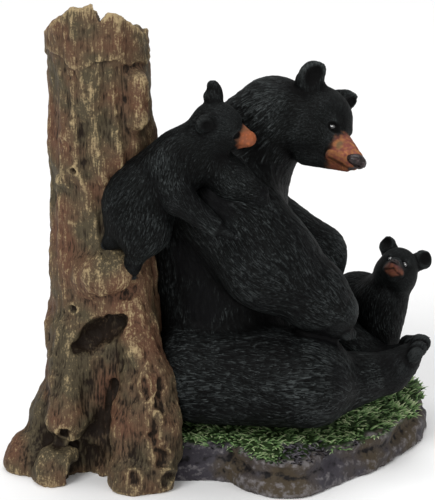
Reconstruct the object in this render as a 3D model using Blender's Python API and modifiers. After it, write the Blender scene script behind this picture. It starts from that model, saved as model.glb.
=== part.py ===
"""A painted resin figurine: a black bear sits against a broken tree trunk, with one cub
climbing on her back and one standing behind her feet, on a low rock with grass.
It is one casting, flat underneath. Metres, +Z up, X to her front, Y away from the viewer."""

import math

import bmesh
import bpy
import numpy as np
from mathutils import Matrix, Vector

# Driving dimensions, in metres
TRUNK_HEIGHT = 0.2180
TRUNK_RADIUS = 0.0215
TRUNK_X = -0.0505
TRUNK_Y = -0.0150
ROCK_LENGTH = 0.1590
ROCK_DEPTH = 0.1290
ROCK_THICKNESS = 0.0165
MOTHER_HEIGHT = 0.1560
CLIMBING_CUB_HEIGHT = 0.0800
STANDING_CUB_HEIGHT = 0.0640
LOCK_DEPTH = 0.5

# How the surface is made
JOIN_BLEND = 0.0036
SETTLING_VOXELS = (0.0026, 0.0017)
LAST_VOXEL = 0.0015
FAR = 0.012
TRIANGLES = 9400
BELOW_GROUND = 0.006
MM = 0.001

# The height that each figure's pose below is drawn at, in millimetres
MOTHER_DRAWN = 156.0
CLIMBER_DRAWN = 80.0
STANDER_DRAWN = 64.0
TRUNK_DRAWN = 220.3
TRUNK_DRAWN_RADIUS = 21.5
ROCK_DRAWN = (159.0, 129.0, 16.5)


def turn_matrix(yaw, pitch, roll):
    """Yaw about Z, then pitch with the nose down, then roll with the left side up."""
    parts = [
        Matrix.Rotation(math.radians(yaw), 3, "Z"),
        Matrix.Rotation(math.radians(pitch), 3, "Y"),
        Matrix.Rotation(math.radians(roll), 3, "X"),
    ]
    return np.array(parts[0] @ parts[1] @ parts[2])


def facing(forward, left):
    """Axes that look forward, with the left side as near as it can be to the one given."""
    ahead = np.array(Vector(forward).normalized())
    side = np.array(left, float) - ahead * (ahead @ np.array(left, float))
    side /= np.linalg.norm(side)
    return np.column_stack([ahead, side, np.cross(ahead, side)])


def ball(at, size, turn=(0, 0, 0), blend=5.0):
    """An egg with three half-axes, in the figure's own millimetres."""
    return {
        "kind": "ball",
        "at": np.array(at, float),
        "size": np.array(size, float),
        "axes": turn_matrix(*turn),
        "blend": blend,
    }


def limb(start, end, start_radius, end_radius, blend=5.0):
    """A round limb that tapers from one joint to the next."""
    return {
        "kind": "limb",
        "at": np.array(start, float),
        "end": np.array(end, float),
        "size": np.array([start_radius, end_radius], float),
        "axes": np.eye(3),
        "blend": blend,
    }


def put(forms, at, scale=1.0, axes=None):
    """The forms, scaled, turned and set down at a point."""
    turned = np.eye(3) if axes is None else axes
    placed = []
    for form in forms:
        copy = dict(form)
        copy["at"] = np.array(at, float) + scale * turned @ form["at"]
        if "end" in form:
            copy["end"] = np.array(at, float) + scale * turned @ form["end"]
        copy["size"] = form["size"] * scale
        copy["axes"] = turned @ form["axes"]
        copy["blend"] = form["blend"] * scale
        placed.append(copy)
    return placed


# Noise that is the same each run

def lattice(cell, seed):
    mixed = cell[..., 0] * 73856093 ^ cell[..., 1] * 19349663 ^ cell[..., 2] * 83492791
    mixed = (mixed ^ (seed * 40503 + 977)) & 0x7FFFFFFF
    mixed = ((mixed ^ (mixed >> 13)) * 1274126177) & 0x7FFFFFFF
    return ((mixed ^ (mixed >> 16)) & 0xFFFF) / 32767.5 - 1.0


def noise(points, seed=0):
    """Smooth value noise from -1 to 1, one cell to a unit."""
    cell = np.floor(points).astype(np.int64)
    part = points - cell
    part = part * part * (3 - 2 * part)
    total = 0.0
    for corner in range(8):
        step = np.array([corner & 1, corner >> 1 & 1, corner >> 2 & 1])
        weight = np.prod(np.where(step, part, 1 - part), axis=1)
        total = total + weight * lattice(cell + step, seed)
    return total


# Distances to the forms

def ball_distance(points, form):
    local = (points - form["at"]) @ form["axes"]
    near = np.linalg.norm(local / form["size"], axis=1)
    steep = np.linalg.norm(local / form["size"] ** 2, axis=1)
    return near * (near - 1) / np.maximum(steep, 1e-9)


def limb_distance(points, form):
    along = form["end"] - form["at"]
    share = np.clip((points - form["at"]) @ along / (along @ along), 0, 1)
    axis = form["at"] + share[:, None] * along
    radius = form["size"][0] + share * (form["size"][1] - form["size"][0])
    return np.linalg.norm(points - axis, axis=1) - radius


def form_distance(points, form):
    return ball_distance(points, form) if form["kind"] == "ball" else limb_distance(points, form)


def smooth_min(a, b, blend):
    part = np.clip(0.5 + 0.5 * (b - a) / blend, 0, 1)
    return b + (a - b) * part - blend * part * (1 - part)


def fur_locks(points):
    """Shallow locks of fur that hang down the body."""
    bent = points + 2.5 * noise(points / 16, 31)[:, None]
    return 1 - 2 * np.abs(noise(bent / (7.5, 7.5, 19), 32))


def bear_distance(points, figure):
    return figure_distance(points, figure) - LOCK_DEPTH * fur_locks(points)


def figure_distance(points, figure):
    distance = None
    for form in figure["forms"]:
        new = form_distance(points, form)
        distance = new if distance is None else smooth_min(distance, new, form["blend"])
    for form in figure.get("carved", []):
        distance = -smooth_min(-distance, form_distance(points, form), form["blend"])
    return distance


# The bears

def head(at, radius, forward, left, muzzle=1.0, ear=1.0):
    """A bear's head, drawn on a skull of radius 1 that looks along X."""
    tip = 1.05 + 0.90 * muzzle
    forms = [
        ball((0, 0, 0), (1.0, 0.92, 0.93), blend=0.35),
        ball((0.40, 0, 0.08), (0.56, 0.66, 0.58), blend=0.25),
        limb((0.80, 0, -0.45), (tip, 0, -0.62), 0.58, 0.31, blend=0.25),
        limb((0.32, 0, -0.92), (tip - 0.16, 0, -0.82), 0.50, 0.22, blend=0.15),
        ball((tip + 0.20, 0, -0.54), (0.19, 0.25, 0.20), blend=0.10),
    ]
    carved = []
    for side in (-1, 1):
        forms += [
            ball((-0.05, side * 0.46, -0.52), (0.84, 0.55, 0.66), blend=0.30),
            ball((0.74, side * 0.36, 0.08), (0.26, 0.24, 0.17), blend=0.15),
            ball(
                (-0.20, side * 0.93, 0.88), (0.20 * ear, 0.44 * ear, 0.50 * ear),
                (side * 34, -8, side * -34), blend=0.14,
            ),
        ]
        carved += [
            ball((1.10, side * 0.50, -0.12), (0.20, 0.19, 0.12), blend=0.12),
            ball(
                (-0.20 + 0.21 * ear, side * (0.94 + 0.14 * ear), 0.94),
                (0.20 * ear, 0.27 * ear, 0.33 * ear), (side * 34, -8, side * -34), blend=0.08,
            ),
        ]
    axes = facing(forward, left)
    return put(forms, at, radius, axes), put(carved, at, radius, axes)


def paw(at, forward, across, size, toes=5):
    """A broad pad with a row of toes along its front edge."""
    pad = ball((0, 0, 0), (1.15, 0.92, 0.62), blend=0.5)
    row = [
        ball((0.98 - 0.10 * abs(k), 0.37 * k, 0.02), (0.36, 0.23, 0.30), blend=0.14)
        for k in (i - (toes - 1) / 2 for i in range(toes))
    ]
    return put([pad, *row], at, size, facing(forward, across))


def mother():
    """She sits on the rock facing X, leaning back on the trunk, her head turned to the viewer."""
    skull, sockets = head((44.0, -8, 140), 15.4, (0.685, -0.72, -0.11), (0.52, 0.59, -0.62))
    forms = [
        ball((-3, 2, 26), (32, 36, 29)),
        ball((3, 2, 54), (32, 36, 31), blend=12),
        ball((2, 2, 84), (29, 34, 30), blend=12),
        ball((-11, 1, 90), (21, 28, 40), (0, 6, 0), blend=10),
        ball((4, 2, 107), (25, 33, 25), blend=12),
        limb((6, 1, 115), (25, -4, 138), 24, 19, blend=10),
        limb((-6, -25, 27), (38.5, -38, 28), 25, 23, blend=5),
        limb((44, -34, 24), (73, -16, 23), 16, 9.5, blend=5),
        limb((-6, 26, 27), (43, 38, 28), 27, 17, blend=8),
        limb((43, 38, 25), (74, 16, 13), 15, 9, blend=7),
        limb((4, -25, 106), (23, -36, 83), 21.5, 21, blend=8),
        limb((23, -36, 83), (42, -36, 68), 20.5, 15, blend=5),
        limb((42, -36, 68), (51, -35, 60), 14.5, 11, blend=5),
        limb((2, 25, 93), (44, 31, 62), 17, 13.5, blend=8),
        limb((44, 31, 62), (47, 34, 49), 13, 9.5, blend=5),
        ball((-27, 6, 22), (9, 9, 8), blend=6),
    ]
    forms += skull
    forms += paw((50.5, -34.5, 55), (0.75, 0.0, -0.66), (0, 1, 0), 8.5)
    forms += paw((48, 33.5, 46), (0.45, 0.05, -0.9), (0, 1, 0), 9.0)
    forms += paw((82, -13, 26), (0.68, -0.06, 0.73), (0.1, 1, 0), 12)
    forms += paw((80, 14, 16), (0.68, 0.06, 0.73), (-0.1, 1, 0), 11)
    return forms, sockets


def climbing_cub():
    """It clings between the trunk and her back, its rump low on the trunk, nose along her neck."""
    skull, sockets = head(
        (-0.5, -38, 147.5), 10.2, (0.965, -0.24, -0.09), (0.24, 0.85, 0.465), muzzle=0.72, ear=1.05
    )
    forms = [
        ball((-34, -37, 111), (16, 13.5, 17.5), (0, 15, 0)),
        ball((-25, -36.5, 121), (14, 12.5, 15), (0, 40, 0), blend=8),
        ball((-15, -36, 130), (13.5, 12, 12.5), (0, 30, 0), blend=8),
        limb((-12, -36, 133), (-1, -37, 145), 11.5, 10, blend=6),
        limb((-21, -43, 130), (-15, -49.8, 115), 10, 8.2, blend=4),
        limb((-15, -49.8, 115), (3, -54.5, 104.4), 8, 5.6, blend=3),
        limb((-6, -35, 133), (6, -39, 122), 9, 8.5, blend=4),
        limb((6, -39, 122), (16, -37, 114), 8.2, 6.5, blend=4),
        ball((-33, -43, 101), (12, 9, 12), blend=5),
        limb((-33, -46, 96), (-36, -43, 84), 8, 5.2, blend=4),
        limb((-40, -38, 103), (-45, -38, 94.5), 8, 4.6, blend=5),
    ]
    forms += skull
    forms += paw((7, -55.4, 102.1), (0.8, 0, -0.6), (0.2, -1, 0.3), 4.8)
    forms += paw((19, -37.5, 111.5), (0.75, 0, -0.66), (0.2, -1, 0.3), 5.2)
    forms += paw((-36, -43, 81.5), (-0.1, 0, -1), (1, 0, 0), 4.8)
    forms += paw((-46.5, -38, 93), (-0.75, 0, -0.65), (0.4, -0.3, -0.8), 3.4)
    return forms, sockets


def standing_cub():
    """It stands behind her feet with its rump behind her leg, and looks up at the viewer."""
    skull, sockets = head(
        (81.5, 34, 55), 9.4, (-0.03, -0.77, 0.63), (0.92, -0.27, -0.285), muzzle=0.62, ear=1.05
    )
    forms = [
        ball((63, 53, 31), (13, 14, 14)),
        ball((70, 45, 32), (12, 13, 13), blend=8),
        ball((75, 36, 33), (10, 11.5, 13.5), blend=8),
        limb((76, 36, 38), (80.5, 36, 50), 10.5, 9.6, blend=6),
        limb((73, 29, 28), (72.5, 26, 5), 6.3, 5.0, blend=4),
        limb((77, 34, 28), (77, 30, 5), 5.8, 4.8, blend=4),
        limb((58, 51, 24), (59, 47, 4), 8, 5.5, blend=4),
        limb((68, 58, 24), (72, 57, 4), 8, 5.5, blend=4),
        ball((56, 64, 34), (4, 4, 4), blend=4),
    ]
    forms += skull
    for x, y in ((73, 23), (79, 27), (59, 44), (73, 54)):
        forms += paw((x, y, 3), (0.1, -1, 0), (1, 0, 0), 5.0, toes=4)
    return forms, sockets


# The trunk

# How far the broken rim lies below the highest splinter, across the trunk from left to right
RIM_DROP = [
    (-20.6, 15.5), (-18.3, 10.3), (-15.3, 7.4), (-9.3, 1.6), (-4.6, 3.1), (-0.2, 0.0),
    (1.1, 4.7), (2.8, 8.6), (6.1, 4.4), (10.5, 5.8), (12.5, 7.5), (18.8, 10.5), (20.8, 14.5),
]
BREAK_SLOPE = 0.42
TOP_LEAN = -2.8


def trunk():
    """The trunk about its own foot: a leaning column, roots all round, a burl and a hollow."""
    forms = [
        limb((TOP_LEAN - 0.4, 0, 232), (0.3, 0, 150), 20.8, 21.5),
        limb((0.3, 0, 150), (0.6, 0, 92), 21.5, 22.4),
        limb((0.6, 0, 92), (1.2, 0, 60), 22.4, 23.8),
        limb((1.2, 0, 60), (2.0, 2, 20), 23.8, 26.0),
        limb((2.0, 2, 20), (2.0, 3, -8), 26.0, 27.0),
        limb((-14, -5, 42), (-27, -12, 14), 9, 8.5, blend=7),
        ball((-33, -13, 4), (10.5, 9.5, 12), blend=5),
        limb((-14, -15, 62), (-16, -24, 26), 8, 7.5, blend=7),
        ball((-22, -28, 4), (9.5, 9.5, 13), blend=4),
        limb((9, -14, 96), (20, -27, 44), 8, 10.5, blend=8),
        limb((20, -27, 44), (23, -32, 18), 10.5, 11, blend=8),
        limb((16, -28, 66), (26, -37, 30), 5.5, 7, blend=5),
        ball((17, -36, 4), (13.5, 11.5, 14), blend=5),
        limb((-8, 12, 50), (-20, 28, 4), 11, 9, blend=9),
        limb((4, 14, 56), (2, 42, 4), 12, 10, blend=9),
        ball((-1, -21, 94), (11.5, 7.5, 11), blend=5),
        ball((-22, -5, 63), (4, 6, 7), blend=4),
        limb((-3, -19.3, 181), (-13.7, -14, 157), 3.4, 3.8, blend=5),
        ball((-11.5, -15.5, 143), (6, 4.5, 9), blend=5),
        ball((17, -17, 175), (5, 5, 16), blend=6),
    ]
    carved = [
        ball((-2, -28, 67), (13, 12, 7.4), (0, -34, 0), blend=3),
        limb((-4, -33, 34), (-2, -38, 0), 6.5, 12, blend=4),
        ball((-15.5, -29.5, 20), (3.2, 4, 3.4), blend=2),
        ball((10.5, -23, 184), (4, 4.5, 9), blend=4),
    ]
    return forms, carved


def trunk_grain(points):
    """Bark ridges that run up the trunk with a slow twist."""
    up = points[:, 2]
    angle = np.arctan2(points[:, 1], points[:, 0]) + up * 0.004
    around = np.column_stack([np.cos(angle), np.sin(angle)])
    wide_ridges = noise(np.column_stack([around * 2.6, up / 42]), 3)
    ridges = 1 - 2 * np.abs(noise(np.column_stack([around * 4.2, up / 55]), 5))
    return 0.9 * wide_ridges + 0.8 * ridges


def bark_plate(points):
    """The upper bark stands a little proud and ends in a ragged lower edge."""
    ragged = 191 + 4 * noise(points * (1 / 7, 1 / 7, 0), 7)
    return 1.1 * np.clip((points[:, 2] - ragged) / 1.6, 0, 1)


def broken_top(points):
    """The height of the torn top: splinters at the front rim, falling away to the back."""
    across = points[:, 0] - TOP_LEAN
    back = points[:, 1] + TRUNK_DRAWN_RADIUS - 1.5
    drop = np.interp(across, [x for x, _ in RIM_DROP], [z for _, z in RIM_DROP])
    inside = np.clip(back / 12, 0, 1)
    torn = 2.2 * noise(np.column_stack([across / 5, back / 7, back * 0]), 11)
    drop = drop * (1 - 0.45 * inside) + BREAK_SLOPE * np.maximum(back, 0) + inside * (3.5 + torn)
    return TRUNK_DRAWN - drop


def trunk_distance(points, figure):
    distance = figure_distance(points, figure) - trunk_grain(points) - bark_plate(points)
    return np.maximum(distance, (points[:, 2] - broken_top(points)) * 0.85)


def torn_off(points, figure):
    """Drops whatever stands above the torn top straight down onto it."""
    local = (points - figure["at"]) / figure["scale"]
    over = (local[:, 2] > TRUNK_DRAWN * 0.8) & (np.hypot(local[:, 0], local[:, 1]) < 40)
    local[over, 2] = np.minimum(local[over, 2], broken_top(local[over]))
    return local * figure["scale"] + figure["at"]


# The rock, drawn in millimetres about the mother's seat

ROCK_OUTLINE = [
    (-30, -45), (-12, -45), (3, -46), (15, -59), (27, -65), (40, -63), (54, -47), (71, -33),
    (82, -14), (91, 6), (94, 21), (88, 42), (70, 57), (46, 64), (18, 65), (-12, 61), (-38, 49),
    (-58, 28), (-66, 4), (-60, -20), (-46, -34),
]
OUTLINE_STEPS = 4
LEDGE_STEP = 2.6
GRASS_RISE = 2.2


def rock_outline():
    """The outline as a smooth closed curve through its points."""
    points = [Vector(point) for point in ROCK_OUTLINE]
    curve = []
    for i in range(len(points)):
        before, here, there, after = (points[(i + k) % len(points)] for k in (-1, 0, 1, 2))
        for step in range(OUTLINE_STEPS):
            t = step / OUTLINE_STEPS
            curve.append(0.5 * (
                2 * here + (there - before) * t
                + (2 * before - 5 * here + 4 * there - after) * t * t
                + (3 * here - before - 3 * there + after) * t ** 3
            ))
    return np.array(curve)


def outline_distance(points, outline):
    """How far points lie outside a closed outline, negative inside it."""
    nearest = np.full(len(points), np.inf)
    inside = np.zeros(len(points), bool)
    x, y = points[:, 0], points[:, 1]
    for a, b in zip(outline, np.roll(outline, -1, axis=0)):
        edge = b - a
        share = np.clip(((x - a[0]) * edge[0] + (y - a[1]) * edge[1]) / (edge @ edge), 0, 1)
        gap_x = x - a[0] - share * edge[0]
        gap_y = y - a[1] - share * edge[1]
        nearest = np.minimum(nearest, gap_x * gap_x + gap_y * gap_y)
        rising = (a[1] > y) != (b[1] > y)
        level = edge[1] if edge[1] else 1e-12
        inside ^= rising & (x < a[0] + edge[0] * (y - a[1]) / level)
    return np.where(inside, -1, 1) * np.sqrt(nearest)


def rock_distance(points, figure):
    """A slab of broken rock: a lower and an upper ledge, with clumps of grass on top."""
    side = outline_distance(points, figure["outline"]) - 0.5
    up = points[:, 2] / ROCK_DRAWN[2]
    chips = noise(points / (13, 13, 9), 21) + 0.5 * noise(points / (6, 6, 5), 22)
    split = 0.42 + 0.16 * noise(points / (22, 22, 60), 23)
    side = side + LEDGE_STEP * np.clip((up - split) / 0.16, 0, 1) - 1.3 * chips
    grassy = np.clip((-side - 4) / 5, 0, 1)
    clumps = noise(points / (6.5, 6.5, 30), 24)
    rise = (GRASS_RISE * clumps + 0.8) * grassy
    top = points[:, 2] - ROCK_DRAWN[2] - rise - 0.5 * chips
    return -smooth_min(-side, -top, 3)


# The whole group

def placed_figure(pose, at, scale, measure):
    """A drawn pose with its place in metres and the metres that each drawn millimetre gives."""
    forms, carved = pose
    return {
        "forms": forms,
        "carved": carved,
        "at": np.array(at),
        "scale": np.array(scale),
        "measure": measure,
    }


def bear_figure(pose, height, drawn):
    """A bear, set down from the middle of the mother's seat on top of the rock."""
    return placed_figure(pose, (0, 0, ROCK_THICKNESS), (height / drawn,) * 3, bear_distance)


def make_figures():
    wide = TRUNK_RADIUS / TRUNK_DRAWN_RADIUS
    trunk_scale = (wide, wide, TRUNK_HEIGHT / TRUNK_DRAWN)
    rock_size = (ROCK_LENGTH, ROCK_DEPTH, ROCK_THICKNESS)
    rock_scale = [size / drawn for size, drawn in zip(rock_size, ROCK_DRAWN)]
    figures = {
        "trunk": placed_figure(trunk(), (TRUNK_X, TRUNK_Y, 0), trunk_scale, trunk_distance),
        "rock": placed_figure(([], []), (0, 0, 0), rock_scale, rock_distance),
        "mother": bear_figure(mother(), MOTHER_HEIGHT, MOTHER_DRAWN),
        "climbing_cub": bear_figure(climbing_cub(), CLIMBING_CUB_HEIGHT, CLIMBER_DRAWN),
        "standing_cub": bear_figure(standing_cub(), STANDING_CUB_HEIGHT, STANDER_DRAWN),
    }
    figures["rock"]["outline"] = rock_outline()
    for figure in figures.values():
        shell = figure_shell(figure)
        points = points_of(shell)
        figure["shell"] = shell
        figure["box"] = points.min(axis=0) - FAR, points.max(axis=0) + FAR
    return figures


def distance_to(points, figure):
    """The distance in metres near the figure, and a plain far value away from it."""
    low, high = figure["box"]
    near = ((points > low) & (points < high)).all(axis=1)
    distance = np.full(len(points), FAR)
    local = (points[near] - figure["at"]) / figure["scale"]
    distance[near] = figure["measure"](local, figure) * figure["scale"].min()
    return distance


def casting_distance(points, figures):
    """The blended distance of all the figures, closed by a plane a little below the ground."""
    distance = None
    for figure in figures.values():
        new = distance_to(points, figure)
        distance = new if distance is None else smooth_min(distance, new, JOIN_BLEND)
    return np.maximum(distance, -BELOW_GROUND - points[:, 2])


# From forms to a mesh

def sphere(mesh, centre, size, axes):
    made = bmesh.ops.create_uvsphere(mesh, u_segments=18, v_segments=10, radius=1.0)
    turned = Matrix([list(row) for row in axes]).to_4x4()
    place = Matrix.Translation(Vector(centre)) @ turned @ Matrix.Diagonal((*size, 1.0))
    bmesh.ops.transform(mesh, matrix=place, verts=made["verts"])


def form_shell(form, top):
    """A ball as a stretched sphere, a limb as the hull round its two end spheres."""
    shape = bmesh.new()
    if form["kind"] == "ball":
        sphere(shape, form["at"], form["size"], form["axes"])
    else:
        for centre, radius in zip((form["at"], form["end"]), form["size"]):
            sphere(shape, centre, (radius,) * 3, form["axes"])
        corners = [(*vert.co.xy, min(vert.co.z, top)) for vert in shape.verts]
        shape.clear()
        for corner in corners:
            shape.verts.new(corner)
        made = bmesh.ops.convex_hull(shape, input=shape.verts, use_existing_faces=False)
        inner = {*made["geom_interior"], *made["geom_unused"]}
        bmesh.ops.delete(shape, geom=[v for v in inner if isinstance(v, bmesh.types.BMVert)])
    bmesh.ops.recalc_face_normals(shape, faces=shape.faces)
    return shape


def rock_shell(outline):
    shape = bmesh.new()
    bottom = [shape.verts.new((x, y, -BELOW_GROUND / MM)) for x, y in outline]
    raised = bmesh.ops.extrude_face_region(shape, geom=[shape.faces.new(bottom)])["geom"]
    top = [part for part in raised if isinstance(part, bmesh.types.BMVert)]
    bmesh.ops.translate(shape, verts=top, vec=(0, 0, ROCK_DRAWN[2] + BELOW_GROUND / MM))
    bmesh.ops.recalc_face_normals(shape, faces=shape.faces)
    return shape


def figure_shell(figure):
    """The figure's plain forms as overlapping closed shells, in metres."""
    shapes = [form_shell(form, TRUNK_DRAWN + 1) for form in figure["forms"]]
    if "outline" in figure:
        shapes.append(rock_shell(figure["outline"]))
    whole = bmesh.new()
    piece = bpy.data.meshes.new("piece")
    for shape in shapes:
        shape.to_mesh(piece)
        shape.free()
        whole.from_mesh(piece)
    bpy.data.meshes.remove(piece)
    place = Matrix.Translation(Vector(figure["at"])) @ Matrix.Diagonal((*figure["scale"], 1.0))
    bmesh.ops.transform(whole, matrix=place, verts=whole.verts)
    made = bpy.data.meshes.new("shell")
    whole.to_mesh(made)
    whole.free()
    return made


def modified(mesh, kind, **settings):
    """The mesh with one modifier applied."""
    obj = bpy.data.objects.new("work", mesh)
    bpy.context.scene.collection.objects.link(obj)
    modifier = obj.modifiers.new(kind, kind)
    for name, value in settings.items():
        setattr(modifier, name, value)
    graph = bpy.context.evaluated_depsgraph_get()
    made = bpy.data.meshes.new_from_object(obj.evaluated_get(graph))
    bpy.data.objects.remove(obj)
    bpy.data.meshes.remove(mesh)
    return made


def points_of(mesh):
    points = np.empty(len(mesh.vertices) * 3)
    mesh.vertices.foreach_get("co", points)
    return points.reshape(-1, 3)


def settle(mesh, measure, rounds=4, reach=0.005):
    """Moves every vertex along the distance's slope until it lies on the blended surface."""
    points = points_of(mesh)
    probe = 0.0002
    for _ in range(rounds):
        distance = measure(points)
        slope = np.column_stack([
            (measure(points + probe * axis) - distance) / probe for axis in np.eye(3)
        ])
        steep = np.maximum((slope * slope).sum(axis=1), 0.3)
        step = slope * (distance / steep)[:, None]
        far = np.linalg.norm(step, axis=1)
        step *= np.minimum(1, reach / np.maximum(far, 1e-12))[:, None]
        points = points - step
    set_points(mesh, points)


def set_points(mesh, points):
    mesh.vertices.foreach_set("co", points.ravel())
    mesh.update()


def largest_body(mesh):
    """Drops the small shells that the remesh leaves in closed pockets."""
    shape = bmesh.new()
    shape.from_mesh(mesh)
    unseen = set(shape.verts)
    bodies = []
    while unseen:
        body, front = set(), [unseen.pop()]
        while front:
            vert = front.pop()
            body.add(vert)
            for edge in vert.link_edges:
                other = edge.other_vert(vert)
                if other in unseen:
                    unseen.remove(other)
                    front.append(other)
        bodies.append(body)
    bodies.sort(key=len)
    bmesh.ops.delete(shape, geom=[v for body in bodies[:-1] for v in body])
    shape.to_mesh(mesh)
    shape.free()


def cut_flat(mesh):
    """Cuts the casting off at the ground, which leaves it a flat underside."""
    shape = bmesh.new()
    bmesh.ops.create_cube(shape, size=1.0, matrix=Matrix.Translation((0, 0, -0.5)))
    block = bpy.data.meshes.new("ground")
    shape.to_mesh(block)
    shape.free()
    ground = bpy.data.objects.new("ground", block)
    bpy.context.scene.collection.objects.link(ground)
    mesh = modified(mesh, "BOOLEAN", operation="DIFFERENCE", solver="EXACT", object=ground)
    bpy.data.objects.remove(ground)
    bpy.data.meshes.remove(block)
    return mesh


def centred(mesh):
    """Moves the casting so that the middle of its footprint is at the origin."""
    points = points_of(mesh)
    middle = (points.min(axis=0) + points.max(axis=0)) / 2
    middle[2] = 0.0
    set_points(mesh, points - middle)
    return middle


# Paint

PAINTS = {
    "bark_paint": ((0.115, 0.066, 0.038, 1), 0.62),
    "rock_paint": ((0.060, 0.055, 0.056, 1), 0.60),
    "fur_paint": ((0.009, 0.010, 0.011, 1), 0.48),
    "grass_paint": ((0.028, 0.078, 0.026, 1), 0.65),
}
PAINT_OF = {
    "trunk": "bark_paint", "rock": "rock_paint", "mother": "fur_paint",
    "climbing_cub": "fur_paint", "standing_cub": "fur_paint",
}


def paint(name, colour, roughness):
    material = bpy.data.materials.new(name)
    material.use_nodes = True
    shader = material.node_tree.nodes["Principled BSDF"]
    shader.inputs["Base Color"].default_value = colour
    shader.inputs["Roughness"].default_value = roughness
    shader.inputs["Metallic"].default_value = 0.0
    material.diffuse_color = colour
    return material


def paint_faces(mesh, figures, middle):
    """Gives each face the paint of the figure that it lies on, and grass to the rock's top."""
    slots = list(PAINTS)
    for name, (colour, roughness) in PAINTS.items():
        mesh.materials.append(paint(name, colour, roughness))
    centres = np.array([face.center[:] for face in mesh.polygons]) + middle
    gaps = np.array([distance_to(centres, figure) for figure in figures.values()])
    nearest = gaps.argmin(axis=0)
    names = list(figures)
    for face, figure in zip(mesh.polygons, nearest):
        kind = PAINT_OF[names[figure]]
        on_top = face.center.z > 0.8 * ROCK_THICKNESS and face.normal.z > 0.5
        if kind == "rock_paint" and on_top:
            kind = "grass_paint"
        face.material_index = slots.index(kind)


def whole_shell(figures):
    """All the figures' shells in one mesh."""
    whole = bmesh.new()
    for figure in figures.values():
        whole.from_mesh(figure["shell"])
        bpy.data.meshes.remove(figure.pop("shell"))
    made = bpy.data.meshes.new("bear_figurine")
    whole.to_mesh(made)
    whole.free()
    return made


def make_casting():
    figures = make_figures()

    def measure(points):
        return casting_distance(points, figures)

    mesh = whole_shell(figures)
    for voxel in SETTLING_VOXELS:
        mesh = modified(mesh, "REMESH", mode="VOXEL", voxel_size=voxel)
        set_points(mesh, torn_off(points_of(mesh), figures["trunk"]))
        settle(mesh, measure)
    mesh = modified(mesh, "REMESH", mode="VOXEL", voxel_size=LAST_VOXEL)
    largest_body(mesh)
    mesh.calc_loop_triangles()
    share = TRIANGLES / len(mesh.loop_triangles)
    mesh = modified(mesh, "DECIMATE", ratio=share, use_collapse_triangulate=True)
    mesh = cut_flat(mesh)
    middle = centred(mesh)
    paint_faces(mesh, figures, middle)
    mesh.shade_smooth()
    mesh.set_sharp_from_angle(angle=math.radians(50))
    return bpy.data.objects.new("bear_figurine", mesh)


def clear_scene():
    for obj in list(bpy.data.objects):
        bpy.data.objects.remove(obj)


def main():
    clear_scene()
    group = bpy.data.collections.new("Bear figurine")
    bpy.context.scene.collection.children.link(group)
    group.objects.link(make_casting())


main()
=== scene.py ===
import math

import bmesh
import bpy
import numpy as np
from mathutils import Matrix, Vector, kdtree


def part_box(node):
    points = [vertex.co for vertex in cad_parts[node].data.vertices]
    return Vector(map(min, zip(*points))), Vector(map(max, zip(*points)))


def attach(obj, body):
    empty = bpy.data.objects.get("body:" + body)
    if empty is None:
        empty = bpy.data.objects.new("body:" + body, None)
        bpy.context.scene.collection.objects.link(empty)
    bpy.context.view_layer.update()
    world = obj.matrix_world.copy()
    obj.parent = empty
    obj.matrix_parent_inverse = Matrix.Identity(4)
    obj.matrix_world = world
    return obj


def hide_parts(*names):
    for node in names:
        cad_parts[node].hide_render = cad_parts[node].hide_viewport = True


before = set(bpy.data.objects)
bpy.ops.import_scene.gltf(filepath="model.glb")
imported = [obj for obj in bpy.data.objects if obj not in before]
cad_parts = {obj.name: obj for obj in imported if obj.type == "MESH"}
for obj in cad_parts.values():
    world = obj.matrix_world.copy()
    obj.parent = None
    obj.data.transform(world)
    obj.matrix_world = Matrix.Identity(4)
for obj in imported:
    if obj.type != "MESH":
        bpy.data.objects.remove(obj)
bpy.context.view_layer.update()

# The looks of a painted resin bear group: fur, bark, rock and grass carved at fine grain over the CAD solid.
# Everything is drawn in millimetres about the middle of the mother's seat, then set into the frame.

place = {
    "height": 216.2,        # the drawn group, from the ground to the highest splinter
    "seatAlong": 93.99,     # from the left side of the CAD box to the middle of the mother's seat
    "seatAcross": 66.15,    # from the near side of the CAD box
    "rockTop": 16.5,
}
boxLow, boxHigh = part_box("bear_figurine")
metres = (boxHigh.z - boxLow.z) / place["height"]    # that each drawn millimetre gives
seat = boxLow + Vector((place["seatAlong"], place["seatAcross"], 0)) * metres
intoFrame = Matrix.Translation(seat) @ Matrix.Scale(metres, 4)
# in one bear: past 200,000 its file would be thinned
mostTriangles = 196000    # the most triangles in one bear; more are thinned away


# Forms that the carving starts from: eggs and tapered limbs, each with the way its hair lies

def turnMatrix(yaw, pitch, roll):
    turns = [Matrix.Rotation(math.radians(a), 3, axis) for a, axis in ((yaw, "Z"), (pitch, "Y"), (roll, "X"))]
    return np.array(turns[0] @ turns[1] @ turns[2])


def facing(forward, left):
    ahead = np.array(Vector(forward).normalized())
    side = np.array(left, float) - ahead * (ahead @ np.array(left, float))
    side /= np.linalg.norm(side)
    return np.column_stack([ahead, side, np.cross(ahead, side)])


def ball(at, size, turn=(0, 0, 0), blend=5.0, flow=(0, 0, -1)):
    return {
        "kind": "ball", "at": np.array(at, float), "size": np.array(size, float),
        "axes": turnMatrix(*turn), "blend": blend, "flow": np.array(flow, float),
    }


def limb(start, end, startRadius, endRadius, blend=5.0, flow=None):
    along = np.array(end, float) - np.array(start, float)
    return {
        "kind": "limb", "at": np.array(start, float), "end": np.array(end, float),
        "size": np.array([startRadius, endRadius], float), "axes": np.eye(3), "blend": blend,
        "flow": along / np.linalg.norm(along) if flow is None else np.array(flow, float),
    }


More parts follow.
